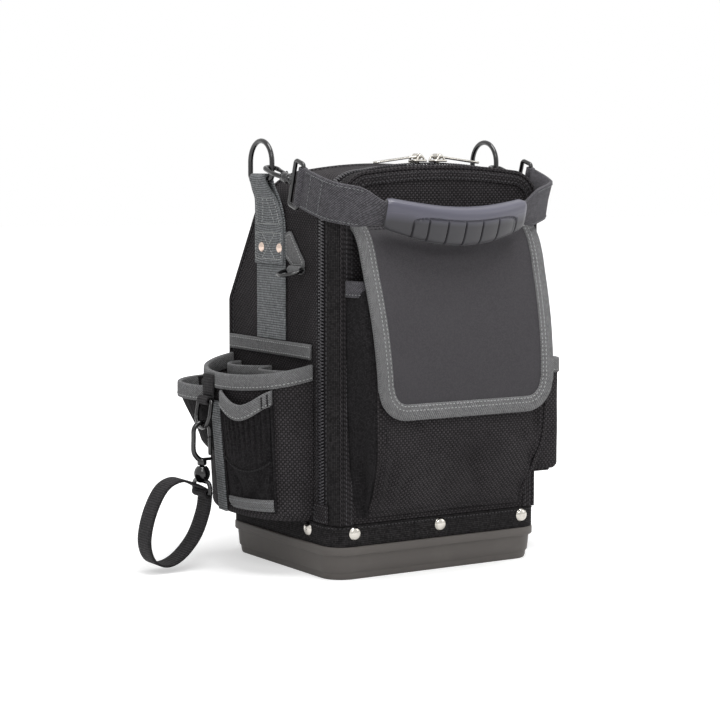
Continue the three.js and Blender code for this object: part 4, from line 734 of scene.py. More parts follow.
def zip_row(name, body, side):
    """One row: a cloth tape along the arch, and a coil whose turns are small rods across it, 2.9 mm apart."""
    path = body_arch(bottom=67.6, count=420)
    out = unit(path - ARCH_MIDDLE)
    section = ((-1.6, 0.25), (0.35, 0.55), (0.35, 4.6), (-0.9, 4.9), (-0.9, 6.4), (-1.6, 6.4))
    ring = np.stack([lay(path + rise * out, 1, ZIP_Y + side * off) for rise, off in section], 1)
    solid(f"zip_{name}_tape", ring, LINING_AND_SHADE_NYLON, body, [f"zip_chain_{name}"])
    count = int(lengths(path)[-1] / 2.9)
    shares = (np.arange(count) + (0.5 if side < 0 else 0.0)) / count
    at = along(path, shares)
    outward = unit(at - ARCH_MIDDLE)
    ahead = unit(along(path, np.minimum(shares + 0.002, 1)) - along(path, np.maximum(shares - 0.002, 0)))
    t = np.linspace(-1, 1, 6)
    lift = (0.8 + 0.95 * (1 - t**4))[None, :, None, None]
    thick = np.array([0.5, 0.85, 0.95, 0.95, 0.85, 0.5])[None, :, None, None]
    turn = full_turn(6)
    round_it = 0.95 * np.cos(turn) * ahead[:, None, None] + 0.8 * np.sin(turn) * outward[:, None, None]
    flat = at[:, None, None] + lift * outward[:, None, None] + thick * round_it
    across = (ZIP_Y + side * (-0.9 + 2.6 * (t + 1)))[None, :, None]
    rods(f"zip_{name}_coil", xyz(flat[..., 0], across, flat[..., 1]), ZIP_NYLON, body, side > 0)


def zip_chain():
    """Both rows of the zip, and the stitched cloth patches over its two lower ends."""
    zip_row("rear", "bag", 1)
    zip_row("front", "front_door", -1)
    for name, side in SIDES:
        middle = [ZIP_Y, 59.3]
        plate(f"zip_patch_{name}", rounded(11.6, 8.6, 1.5, 4) + middle, 113.3, side, 1.7, 0.5, BALLISTIC_NYLON)
        line = rounded(9.8, 6.8, 1, 3) + middle
        line = lay(np.vstack([line, line[:1]]), 0, side * 115.0)
        stitches(f"zip_patch_stitching_{name}", [(line, (side, 0, 0))], "bag", GREY_THREAD)


base()
belt()
base_rivets()
gusset()
back()
organiser()
door_gusset()
door_panel()
zip_chain()

# Front pocket and its flap

POCKET_TOP = 265.8
# The pocket's section: height, half width at the panel and in front, and how far it stands out
POCKET = np.array([[56, 90, 84, 5], [85, 96, 90, 22], [115, 98.5, 95, 34], [150, 100.5, 97, 36.5],
                   [190, 101.5, 97.5, 36], [230, 102, 98.5, 30], [266, 102.3, 100, 19.5]], float)
# Folds where the gathered foot and the flap pull on the cloth
POCKET_FOLDS = (
    ((-84, -128, 106), (-84, -108, 66), 4, -5.0), ((-72, -131, 112), (-66, -108, 66), 5, -4.6),
    ((-96, -116, 136), (-90, -100, 62), 5, -5.0), ((-50, -131, 100), (-56, -106, 68), 5, -3.2),
    ((10, -133, 112), (30, -114, 74), 7, -4.2), ((60, -133, 140), (88, -122, 90), 5, -4.2),
    ((76, -133, 215), (84, -126, 100), 6, -5.0), ((92, -120, 150), (84, -108, 74), 5, -4.2),
    ((-30, -133, 122), (26, -131, 100), 9, -3.6), ((-24, -126, 92), (40, -122, 82), 6, 1.4),
    ((-60, -133, 160), (-26, -132, 116), 9, -3.0),
)


def pocket_outline(z):
    """The pocket from above at heights z: from the panel round the front and back to the panel, 81 points."""
    fine = curved(POCKET, 200)
    back, front, depth = (np.interp(z, fine[:, 0], fine[:, k])[:, None] for k in (1, 2, 3))
    r = np.minimum(11, depth * 0.6)
    u = np.linspace(0, 1, 9)
    turn = np.linspace(0, np.pi / 2, 9)[1:]
    x = np.concatenate([back + (front - back) * u, front - r + r * np.cos(turn)], 1)
    y = np.concatenate([-(depth - r) * u, -(depth - r) - r * np.sin(turn)], 1)
    middle = (front - r) * np.linspace(1, -1, 50)[None, 1:-1]
    x = np.concatenate([x, middle, -x[:, ::-1]], 1)
    y = np.concatenate([y, np.broadcast_to(-depth, middle.shape), y[:, ::-1]], 1)
    return xyz(x, -95.8 + y, z[:, None])


def front_pocket():
    """The bellied pocket: its outline at each height, lifted by its folds, with a rolled seam at each front corner, and
    side panels in the darker lining cloth as painted shade.
    """
    points = pocket_outline(np.linspace(56.4, POCKET_TOP, 96))
    normal = unit(np.cross(np.gradient(points, axis=1), np.gradient(points, axis=0)))
    normal *= np.sign(np.sum(normal * (points - [0, -95, 160]), -1, keepdims=True))
    lift = ripple(points[..., 0], points[..., 2], 0.5, 0.7) + creases(points, POCKET_FOLDS)
    points = points + np.minimum(lift, 0.8)[..., None] * normal
    away = (0, -98, 160)
    right_seam, left_seam = 13, 67
    surface("pocket", points[:, right_seam : left_seam + 1], BALLISTIC_NYLON, "front_door", ["front_pocket"], away=away,
            wall=1.8)
    # Painted shade: the side panels take the darker lining cloth, which stands for the shadow in the recess beside the
    # pocket.
    for name, side in (("right", points[:, : right_seam + 1]), ("left", points[:, left_seam:])):
        surface(f"pocket_side_{name}", side, LINING_AND_SHADE_NYLON, "front_door", away=away, wall=1.8)
    rows = []
    for name, seam, inner in (("right", right_seam, 3), ("left", left_seam, -3)):
        edge = points[3:, seam] + 0.9 * normal[3:, seam]
        piping(f"pocket_seam_{name}", curved(edge[::6], 120), 1.6, BALLISTIC_NYLON, "front_door")
        at = np.s_[3:-8, seam + inner]
        rows.append((points[at] + 0.1 * normal[at], normal[at]))
    foot = np.s_[2, 8:73]
    rows.append((points[foot] + 0.1 * normal[foot], normal[foot]))
    stitches("pocket_stitching", rows, "front_door", DARK_THREAD, stitch=2.4, gap=1.2, thick=0.4)
    floor = np.stack([points[0] * [1 - 0.9 * t, 1, 1] for t in (0, 0.5, 1.0)])
    floor[..., 1] = np.minimum(floor[..., 1], -96.0)
    surface("pocket_foot", floor, BALLISTIC_NYLON, "front_door", away=away)


def pocket_binding():
    """The pocket's bound mouth, and the flat tabs that tie its ends to the panel."""
    outline = pocket_outline(np.array([POCKET_TOP]))[0]
    edge = along(outline[outline[:, 1] < -96.4], 120)
    bound("pocket_edge", edge, level_out(edge, [0, -97, POCKET_TOP]), 1.9, 13, CARRY_WEBBING, "front_door",
          ["front_pocket_binding"], row=-10.5, thread=PALE_THREAD)
    for name, side in SIDES:
        tab = prism(rounded(8.5, 6, 0.8, 3), 0, 1.2, 0.3)
        place = xyz(side * (91.8 + tab[..., 0]), -96.0 - tab[..., 2], 258.5 + tab[..., 1])
        solid(f"pocket_tab_{name}", place, CARRY_WEBBING, "front_door")


# The flap hangs in a line of the y and z plane, drawn from its seam to its lower edge
FLAP_LINE = curved([(-97.5, 316), (-104.2, 311), (-111, 301.5), (-116, 289), (-121, 272), (-127.5, 250), (-134, 222),
                    (-138.5, 190), (-139.5, 165), (-139, 147.5)], 200)
FLAP_RUN = lengths(FLAP_LINE)
FLAP_OUT = square_to(FLAP_LINE)
FLAP_OUT *= np.sign(-FLAP_OUT[:, :1])
FLAP_END, FLAP_CORNER = FLAP_RUN[-1], 27  # the run to its lower edge, and the radius of its corners
FLAP_HALF, FLAP_TAPER = 97, 5  # half its width at the top, and how much of that it loses on the way down


def on_flap(x, w, h):
    """A point of the flap: x across, w run down its line from where it is sewn, h out from its face."""
    at = [np.interp(w, FLAP_RUN, FLAP_LINE[:, k]) + h * np.interp(w, FLAP_RUN, FLAP_OUT[:, k]) for k in (0, 1)]
    return xyz(x, *at)


def flap_side(w):
    """Half the flap's width at a run down it, before its corners are rounded."""
    return FLAP_HALF - FLAP_TAPER * np.clip((w - 37) / (FLAP_END - 37), 0, 1)


def hang(made):
    """Takes a piece off its body and bakes its place into its mesh."""
    made.parent = None
    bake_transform(made)


def flap():
    """The flap's sheet from its seam to its rounded foot, bent by its own line, with a faint belly across."""
    r = FLAP_CORNER
    turn = np.sin(np.linspace(0, np.pi / 2, 16)[1:])
    w = np.concatenate([np.linspace(0, FLAP_END - r, 60), FLAP_END - r * (1 - turn)])[:, None]
    up = np.clip(FLAP_END - w, 0, r)
    half = np.maximum(flap_side(w) - r + np.sqrt(np.maximum(r**2 - (r - up) ** 2, 0)), 0.5)
    u = np.linspace(-1, 1, 61)
    belly = 0.9 * (1 - u**2) * np.sin(np.clip(w / FLAP_END, 0, 1) * np.pi) + ripple(u * half, w, 0.35, 0.4)
    made = surface("flap_sheet", on_flap(u * half, w, belly), COATED_CLOTH, "flap", ["pocket_flap", "flap_shelf"],
                   away=(0, -60, 220), wall=2.4)
    hang(made)
    lines = [(on_flap(np.linspace(-82, 82, 40), np.full(40, w), 0.5), (0, -0.6, 0.8)) for w in (3.2, 6.8)]
    stitches("flap_seam_stitching", lines, "front_door", GREY_THREAD)


def flap_edge():
    """The flap's binding: a wide soft U section along its sides and round its foot, in the sheet's own surface."""
    r, low_half = FLAP_CORNER, FLAP_HALF - FLAP_TAPER
    side_w = np.linspace(1.5, FLAP_END - r, 60)
    corner = arc((low_half - r, FLAP_END - r), r, 0, 90, 14)[1:]
    right = np.vstack([np.column_stack([flap_side(side_w), side_w]), corner])
    foot = lay(np.linspace(low_half - r, r - low_half, 30)[1:-1, None], 1, FLAP_END)
    path = np.vstack([right, foot, right[::-1] * [-1, 1]])
    inward = square_to(path)
    inward *= np.sign(np.sum(inward * ([0, 120] - path), -1, keepdims=True))
    section = np.array([(13.0, 0.2), (12.8, 1.1), (7, 1.25), (1.2, 1.3), (-0.6, 1.0), (-1.4, 0.1), (-1.5, -1.3),
                        (-1.4, -2.7), (-0.6, -3.6), (1.2, -3.9), (7, -3.85), (12.8, -3.7), (13.0, -2.8)])
    flat = path[:, None] + section[None, :, :1] * inward[:, None]
    points = on_flap(flat[..., 0], flat[..., 1], section[None, :, 1])
    points[..., 2] -= np.maximum(flat[..., 1] - FLAP_END, 0)
    hang(solid("flap_edge", points, GREY_TAPE, "flap", ["flap_binding"]))
    rows = [(on_flap(*(path + inset * inward).T, 1.28), FORWARD) for inset in (11.2, 7.4)]
    hang(stitches("flap_edge_stitching", rows, "flap", WHITE_THREAD, stitch=2.2, gap=1.5, thick=0.42))


# Straps, rings and tabs on the sides


def side_strap(name, side):
    """One length of webbing: up from the band, over the ring's bar and down to its sewn end, as one ribbon.

    Its line in the plane of x and z has a half turn about the bar; its width eases from 50.8 to 29 mm.
    """
    inner = curved([(114.4, 209.3), (114.4, 250), (114.4, 290), (114.4, 306), (114.8, 322), (116.6, 337),
                    (119.8, 349)], 50)
    outer = curved([(127.6, 352.6), (124.6, 345.5), (120.3, 337), (117.4, 322), (116.55, 306), (116.5, 290),
                    (116.5, 278)], 40)
    line = along(np.vstack([inner, arc(RING_BAR, 3.8, 190, -25, 20), outer]), 150)
    narrow = np.clip((line[:, 1] - 306) / (352 - 306), 0, 1)
    half = 25.4 - 10.9 * narrow * narrow * (3 - 2 * narrow) ** 0.5
    ribbon(f"strap_{name}", lay(line * [side, 1], 1, STRAP_Y), ACROSS_Y, half, 1.9, GREY_WEBBING, "bag",
           [f"side_strap_{name}"])
    face, out, share = 117.55, (side, 0, 0), np.linspace(-1, 1, 20)
    rows = [(xyz(side * x, STRAP_Y + h * share, z), out)
            for z, h, x in ((314.6, 22.5, face + 0.35), (306.3, 23, face), (282.5, 23, face))]
    z = np.linspace(315, 338, 14)
    over = [side * (np.interp(at, *outer[::-1, ::-1].T) + 1.0) for at in (z, 338)]
    for k in (-1, 1):
        rows.append((xyz(side * face, STRAP_Y + 11 * share, 294.4 + k * 11 * share), out))
        rows.append((xyz(side * face, STRAP_Y + k * 22.6, np.linspace(283, 306, 12)), out))
        rows.append((xyz(over[0], STRAP_Y + k * np.interp(z, [306, 352], [22, 12.5]), z), out))
        rows.append((xyz(over[0], STRAP_Y + k * np.linspace(11, 3, 14), z), out))
    rows.append((xyz(over[1], STRAP_Y + np.linspace(-14, 14, 12), 338.0), out))
    stitches(f"strap_{name}_stitching", rows, "bag", WHITE_THREAD, stitch=2.4, gap=0.9, thick=0.46)
    for place, y in (("front", -8), ("rear", 24)):
        rivet(f"rivet_strap_{name}_{place}", (side * 117.0, y, 293), out, COPPERY, 4.4, 1.9, 0.55)


def side_band(name, side):
    """The flat band under the strap, folded double, with two rows of stitches."""
    y = np.linspace(-57.8, 88.7, 60)
    ribbon(f"band_strip_{name}", xyz(side * 114.5, y, 202.0), (0, 0, 1), 6.9, 2.2, GREY_TAPE, "bag", [f"band_{name}"])
    rows = [(xyz(side * 115.6, y, z), (side, 0, 0)) for z in (206.2, 197.6)]
    stitches(f"band_{name}_stitching", rows, "bag", WHITE_THREAD, stitch=2.2, gap=1.5, thick=0.4)


def tab():
    """The slanted tab in front of the left strap: a stitched plate, a loop of tape, and a small D-ring that hangs."""
    bar, y = (-117.0, 274.4), -36.0
    outline = [(-14.2, 284.4), (-14.2, 306.5), (-18, 308.2), (-22.8, 308.6), (-30, 300), (-38, 291), (-46, 282.6),
               (-46.2, 276.6), (-44, 275.8), (-28, 275.8), (-25.8, 276.6), (-14.2, 284.4)]
    plate("tab_plate", along(outline, 60)[:-1], 113.4, -1, 1.7, 0.35, GREY_TAPE, ["strap_tab"])
    eye("tab_loop", bar, 2.85, y, 10.2, 1.7, GREY_TAPE, "bag")
    inner = [(-16, 287), (-16, 304.5), (-23, 306), (-35, 291.5), (-43.5, 282), (-43.5, 279), (-28, 279), (-16, 287)]
    line = lay(along(inner, 80), 0, -115.15)
    stitches("tab_stitching", [(line, (-1, 0, 0))], "bag", WHITE_THREAD, 2.0, 1.0, 0.36)
    d_ring("small_ring_wire", "small_ring", "small_d_ring", bar, y, 12.6, 2, 17, 1.6, lean=-105, sides=12)


front_pocket()
pocket_binding()
flap()
flap_edge()
for strap_name, strap_side in SIDES:
    side_strap(strap_name, strap_side)
    side_band(strap_name, strap_side)
for ring_name, ring_side in SIDES:
    node = f"d_ring_{ring_name}"
    d_ring(f"side_ring_{ring_name}", node, node, (ring_side * RING_BAR[0], RING_BAR[1]), STRAP_Y, 19.5, 3.5, 34, 2.35)
tab()

# Left pouch, seen from above: half an ellipse that narrows a little downwards

POUCH_TOP, POUCH_MIDDLE = 190, 13.3  # its rim's highest point, and its middle in y
IN_POUCH = (-113, 13, 120)  # a place inside it
POUCH_STEPS = (1 - np.cos(np.linspace(0, np.pi, 90))) / 2
POUCH_FOLDS = (((-150, -45, 170), (-150, -38, 70), 9, -1.6), ((-160, 20, 150), (-158, 26, 60), 8, -1.3),
               ((-150, 60, 160), (-148, 52, 70), 8, -1.6))


def pouch_at(s, z, grow=0.0):
    """The pouch's wall from the back (s 0) to the front (s 1): x by a power of a sine, y by a cosine."""
    turn = np.pi * np.clip(s, 0, 1)
    reach = 55 - 11 * np.clip((POUCH_TOP - z) / (POUCH_TOP - 50.3), 0, 1) + grow
    return xyz(-(113.3 + reach * np.sin(turn) ** 0.75), POUCH_MIDDLE + (73.7 + grow) * np.cos(turn), z)


def pouch_rim(s):
    """Height of the pouch's dipped rim."""
    return POUCH_TOP - 11 * np.sin(np.pi * np.clip(s, 0, 1)) ** 0.8


def pouch_out(s, z):
    """Directions straight out of the pouch's wall, level."""
    out = np.cross([0, 0, 1.0], unit(pouch_at(s + 2e-3, z) - pouch_at(s - 2e-3, z)))
    return out * np.sign(np.sum(out * (pouch_at(s, z) - [-113, 13, 0]) * [1, 1, 0], -1, keepdims=True) + 1e-9)


def tucked(z, foot, depth, height):
    """How far a wall draws in at its foot: by its depth there, easing by a square to nothing a height above it."""
    return depth * np.clip(1 - (z - foot) / height, 0, 1) ** 2


def floor_to(edge, x):
    """A floor's grid, from a wall's lowest line straight across to x on the body."""
    return np.stack([edge * [1 - k, 1, 1] + [k * x, 0, 0] for k in (0, 0.5, 1)])


def pouch():
    """The pouch's wall: its outline at each height with a rounded, tucked-in foot, and a floor."""
    s, foot = POUCH_STEPS, 50.7
    t = np.concatenate([[0, 0.004, 0.012, 0.025], np.linspace(0.045, 1, 60)])[:, None]
    z = foot + t * (pouch_rim(s) - foot)
    points = pouch_at(s, z, -tucked(z, foot, 3.5, 6))
    points[:, [0, -1], 0] = -BODY_SIDE
    lift = ripple(points[..., 1] * 1.3, z, 0.5, 1.1) - 0.4 + creases(points, POUCH_FOLDS)
    points += np.minimum(lift, 0)[..., None] * pouch_out(s, z) * np.sin(np.pi * s)[:, None] ** 0.5
    surface("pouch_wall", points, BALLISTIC_NYLON, "bag", ["left_pouch"], away=IN_POUCH, wall=2.2)
    floor = floor_to(points[0], -113.6)
    surface("pouch_floor", floor, BALLISTIC_NYLON, "bag", away=(-130, 13, 100), wall=1.8)


def pouch_binding():
    """The pouch's bound rim, which stops just short of the body."""
    s = (1 - np.cos(np.linspace(0.03, 0.97, 130) * np.pi)) / 2
    z = pouch_rim(s)
    bound("pouch_edge", pouch_at(s, z, -0.2), pouch_out(s, z), 2.2, 13, GREY_TAPE, "bag", ["left_pouch_binding"],
          row=-10.2)


def dividers():
    """Cloth in two loops across the pouch, which stand out by a power of a sine, with a bound edge."""
    t, top = np.linspace(0, 1, 40), 183.6
    x = -(114.9 + 25 * np.sin(np.pi * t) ** 0.6)
    spans = ((-44.4, POUCH_MIDDLE), (POUCH_MIDDLE, 71.0))
    loops = [np.column_stack([x, low + (high - low) * t]) for low, high in spans]
    line = along(np.vstack([loops[0], loops[1][1:]]), 120)
    cloth = xyz(*line.T, np.linspace(62.2, top, 30)[:, None])
    surface("divider_cloth", cloth, LINING_AND_SHADE_NYLON, "bag", ["pouch_dividers"], away=(-100, 13, 120), wall=1.6)
    edge = lay(line, 2, top)
    out = np.cross(unit(np.gradient(edge, axis=0)), [0, 0, 1])
    out *= np.sign(-out[:, :1] + 1e-6)
    bound("divider_edge", edge, out, 1.6, 9, GREY_TAPE, "bag", thick=0.9)


# Pockets that belly out of the pouch's wall: where they lie round it, how far they stand out at the mouth and at
# the foot, their cloth, their lower edge and how far their mouth dips

ELASTIC = {"from": 0.5, "to": 0.81, "bulge": 9, "foot": 3.4, "wall": 1.8, "bottom": 58, "dip": 11}
CORNER = {"from": 0.1, "to": 0.375, "bulge": 23, "foot": 5, "wall": 2, "bottom": 106, "dip": 0}
# Folds of the elastic pocket, in its width (0 to 50) and height
ELASTIC_FOLDS = (((43, 104), (27, 66), 3.2, -4.0), ((8, 100), (23, 66), 3.5, -3.0), ((47, 130), (46, 68), 2.6, -3.0),
                 ((30, 96), (26, 78), 5, 1.0))


def way_round(p, u):
    """The share of the way round the pouch at a share of a pocket's width."""
    return p["from"] + u * (p["to"] - p["from"])


def belly_top(p, u):
    """Height of a bellied pocket's mouth: under the pouch's binding, less a dip of a sine squared."""
    return pouch_rim(way_round(p, u)) - 15.1 - p["dip"] * np.sin(np.pi * u) ** 2


def belly_at(p, u, z, grow):
    """A bellied pocket's face: out of the pouch's wall by a power of a sine across, and more with height."""
    share = smoothstep(z, p["bottom"], p["bottom"] + (POUCH_TOP - p["bottom"]) * 0.7)
    full = (p["foot"] + (p["bulge"] - p["foot"]) * share) * np.sin(np.pi * u) ** 0.8
    wall = p["wall"] * np.minimum(1, 12 * np.minimum(u, 1 - u))
    return pouch_at(way_round(p, u), z, 0.3 + wall + full + grow)


def on_belly(p, u, z, grow):
    """Points of a bellied pocket's face, and the directions out of the pouch there."""
    return belly_at(p, u, z, grow), pouch_out(way_round(p, u), z)


def belly_face(name, p, finish, node, gathers, foot, folds=()):
    """The pocket's cloth, from its tucked foot to its mouth; gathers are upright ripples that fade downwards."""
    u = np.linspace(0, 1, 97)
    z = p["bottom"] + np.linspace(0, 1, 80)[:, None] * (belly_top(p, u) - p["bottom"])
    inside = np.sin(np.pi * u)
    fade = smoothstep(z, 94, 134) * np.minimum(inside * 2, 1)
    pleat = gathers * np.cos(2 * np.pi * u * 12) * fade
    across = np.stack(np.broadcast_arrays(u * 50, z), -1)
    slack = ripple(u * 60, z, 0.45, 2.2) * inside + creases(across, folds)
    tuck = tucked(z, p["bottom"], foot, 8) * inside
    points = belly_at(p, u, z, -0.3 - tuck + np.minimum(pleat + slack, 0.6) - gathers * 0.5)
    surface(name, points, finish, "bag", [node], away=IN_POUCH, wall=p["wall"] * 0.8)


def belly_mouth(name, p, wall, node, row):
    """The bound mouth of a bellied pocket."""
    u = np.linspace(0.01, 0.99, 110)
    edge, out = on_belly(p, u, belly_top(p, u), -0.2)
    bound(name, edge, out, wall, 13, GREY_TAPE, "bag", [node], thick=1.2, row=row)


def elastic_pocket():
    """The gathered pocket: its cloth, side seams and mouth, the curved seam across it and the bar tacks."""
    belly_face("elastic_pocket_cloth", ELASTIC, LINING_AND_SHADE_NYLON, "elastic_pocket", 1.7, 4.0, ELASTIC_FOLDS)
    for side, at in (("back", 0.03), ("front", 0.97)):
        z = np.linspace(ELASTIC["bottom"] + 3, belly_top(ELASTIC, at) - 12, 40)
        seam = curved(belly_at(ELASTIC, at, z, 0.4), 120)
        piping(f"elastic_side_seam_{side}", seam, 1.1, LINING_AND_SHADE_NYLON, "bag")
    belly_mouth("elastic_edge", ELASTIC, 1.6, "elastic_pocket_binding", -10.6)
    u = np.linspace(0.08, 0.92, 60)
    seam = on_belly(ELASTIC, u, 95 + 14 * (2 * u - 1) ** 2, 0.1)
    stitches("elastic_seam", [seam], "bag", DARK_THREAD, stitch=3, gap=0.2, thick=0.8)
    bars = [on_belly(ELASTIC, u, np.linspace(-12, -1, 8) + belly_top(ELASTIC, u), 1.35) for u in (0.845, 0.925)]
    stitches("elastic_bar_tacks", bars, "bag", DARK_THREAD, stitch=2.2, gap=0.0, thick=0.8)


def elastic_foot():
    """The stitched tab along the gathered pocket's foot."""
    u = np.linspace(0.1, 0.94, 50)
    z = 57.5 + 1.5 * u + 11.5 * np.array([0, 0.04, 0.5, 0.96, 1])[:, None]
    lift = np.array([-0.8, 0.7, 1.0, 0.7, -0.8])[:, None]
    points = belly_at(ELASTIC, u, z, lift + 0.3 - tucked(z, ELASTIC["bottom"], 3.5, 8))
    surface("elastic_foot_tab", points, GREY_TAPE, "bag", away=IN_POUCH, wall=0.6)
    lines = [(u, low + 1.5 * u) for low in (60.4, 66.2)] + [(at, np.linspace(60.5, 68, 6)) for at in (0.86, 0.91)]
    rows = [on_belly(ELASTIC, at, z, 1.3 - tucked(z, ELASTIC["bottom"], 3.5, 8)) for at, z in lines]
    stitches("elastic_foot_stitching", rows, "bag", PALE_THREAD, stitch=2.2, gap=0.8, thick=0.4)


def rear_pocket():
    """The tapered pocket of rib knit towards the back."""
    belly_face("rear_pocket_cloth", CORNER, ELASTIC_RIB, "rear_pocket", 0.25, 5)
    belly_mouth("rear_pocket_edge", CORNER, 1.8, "rear_pocket_binding", -10.4)


def pouch_tape():
    """The upright webbing between the two pockets."""
    path = pouch_at(0.45, np.linspace(52.5, 154, 50), 1.3)
    across = pouch_at(0.451, 100.0) - pouch_at(0.449, 100.0)
    ribbon("pouch_tape", path, across, 8.8, 1.7, GREY_WEBBING, "bag", ["pouch_webbing"])


# Right pocket


def box_pocket(z, grow=0.0):
    """The right pocket from above: straight sides and rounded outer corners, from the body round and back."""
    r, x, front, back = 8 + grow, 161 + grow, -66.5 - grow, 22 + grow
    corners = [arc((x - r, front + r), r, -90, 0, 9), arc((x - r, back - r), r, 0, 90, 9)]
    return xyz(*along(np.vstack([[BODY_SIDE, front], *corners, [BODY_SIDE, back]]), 110).T, np.asarray(z)[..., None])


def right_pocket():
    """The right pocket: cloth with a tucked foot, a floor, a bound mouth and bar tacks at its front end."""
    foot, top = 78.2, 183.8
    z = np.concatenate([[foot, 78.6, 79.6, 81.5], np.linspace(84, top, 50)])
    points = box_pocket(z)
    out = unit((points - [BODY_SIDE, -22, 0]) * [1, 1, 0])
    points = points - out * (tucked(z, foot, 3.5, 5)[:, None, None] + 0.3)
    points += out * np.minimum(ripple(points[..., 1], points[..., 2], 0.6, 0.9), 0.2)[..., None]
    points[:, [0, -1], 0] = BODY_SIDE
    surface("right_pocket_cloth", points, BALLISTIC_NYLON, "bag", ["right_pocket"], away=(113, -22, 130), wall=2.4)
    floor = floor_to(points[0], 113.6)
    surface("right_pocket_floor", floor, BALLISTIC_NYLON, "bag", away=(130, -22, 120), wall=1.8)
    edge = box_pocket(top, -0.2)[2:-2]
    bound("right_pocket_edge", edge, level_out(edge, [BODY_SIDE, -22, top]), 2.4, 13, GREY_TAPE, "bag",
          ["right_pocket_binding"], row=-10.2)
    bars = [(xyz(x, -67.9, np.linspace(172, 183, 8)), FORWARD) for x in (120, 124.95)]
    stitches("right_pocket_bar_tacks", bars, "bag", DARK_THREAD, stitch=2.2, gap=0.0, thick=0.8)


# Carry handle, in its own drooping frame: x across, f forward of the rings, w square to both

DROOP, RING_Z = 17, 370  # how far it droops, in degrees, about the height at which the hooks hold the rings
# How far forward of the rings: the hook's bend, the end of its nose, the gate's root and the barrel's back
HOOK_EYE, NOSE_END, GATE_ROOT, BARREL = 21.0, 24.5, 38.2, 41.7
LOOP, EYE = 58.7, 72.7  # the square loop's near and far bars; the webbing turns round the far one
WEB = curved([(-124.8, EYE), (-122, 102), (-113, 120), (-80, 137.5), (-40, 148), (0, 151), (40, 148), (80, 137.5),
              (113, 120), (122, 102), (124.8, EYE)], 220)
WEB_OUT = square_to(WEB)


def held(x, f, w):
    """A point of the handle's frame in the bag's, turned down about the rings."""
    c, s = np.cos(np.radians(DROOP)), np.sin(np.radians(DROOP))
    return xyz(x, STRAP_Y - f * c - w * s, RING_Z - f * s + w * c)


def held_way(x, f, w):
    """The same turn for a direction."""
    return held(x, f, w) - held(0, 0, 0)


def sag(x):
    """How far the middle of the handle hangs below the line of its hooks."""
    return -12 * np.maximum(0, 1 - (x / 110) ** 2) ** 2


def web_half(x):
    """Half the webbing's width: narrow inside the grip, 36 mm outside it."""
    return (20 + 16 * smoothstep(np.abs(x + 4) - 75, -4, 22)) / 2


def handle_hook(name, side):
    """A snap hook: a bent wire claw on a turned barrel, a swivel neck, and the webbing's square loop."""
    across, x, r = held_way(0, 0, 1), side * RING_BAR[0], 6.3
    claw = [(0, BARREL + 2), (r * 0.6, BARREL - 1.8), (5.9, BARREL - 6), (r, BARREL - 9), (r, HOOK_EYE + 6)]
    claw = curved([*claw, *arc((0, HOOK_EYE), r, 0, -180, 17), (-r, NOSE_END - 1), (-r, NOSE_END)], 60)
    wire = np.interp(np.linspace(0, 1, 60), [0, 0.15, 0.93, 1], [2.2, 2.1, 2.1, 1.7])
    tube(f"hook_claw_{name}", held(x + side * claw[:, 0], claw[:, 1], 0.0), wire, across, BLACK_ENAMEL, "handle",
         [f"handle_hook_{name}"])
    barrel = [(0.4, -3), (2.4, -2.8), (3.6, -1), (4.4, 0), (4.5, 0.8), (4.1, 1.3), (4.5, 1.9), (4.5, 6.6), (4.1, 7.2),
              (4.5, 7.8), (4.3, 8.6), (3.2, 9.0), (2.4, 9.4), (2.3, 14), (3.4, 14.5), (3.4, 16.5), (0.4, 16.8)]
    rings = lathe(barrel, held(x, BARREL, 0.0), held_way(0, 1, 0))
    solid(f"hook_barrel_{name}", rings, BLACK_ENAMEL, "handle")
    ear = prism(rounded(4.0, 2.0, 0.9, 4), -2.0, 2.0, 0.3)
    rings = held(x - side * 4.3 + ear[..., 0], BARREL - 1.2 + ear[..., 1] * 0.65, ear[..., 2])
    solid(f"hook_ear_{name}", rings, BLACK_ENAMEL, "handle")
    square = rounded((EYE - LOOP) / 2, 20.4, 3, 7) + [(EYE + LOOP) / 2, 0]
    tube(f"hook_loop_{name}", held(x, *square.T), 2.0, (1, 0, 0), BLACK_ENAMEL, "handle", closed=True)
    gate = np.array([NOSE_END + 0.5, 26.5, 31, 35.5, GATE_ROOT - 0.6, GATE_ROOT + 0.5])
    tube(f"hook_gate_{name}", held(x - side * r, gate, 0.0), [1.5, 1.8, 1.8, 1.8, 1.6, 0.7], across, BLACK_ENAMEL,
         f"gate_{name}", [f"gate_{name}"])
    knob = [(0.2, 0), (1.1, 0.1), (1.2, 1.0), (1.7, 1.3), (1.7, 2.0), (1.2, 2.4), (0.2, 2.5)]
    rings = lathe(knob, held(x - side * 7.9, 31, 0.0), (-side, 0, 0), 14)
    solid(f"hook_thumb_{name}", rings, BLACK_ENAMEL, f"gate_{name}")


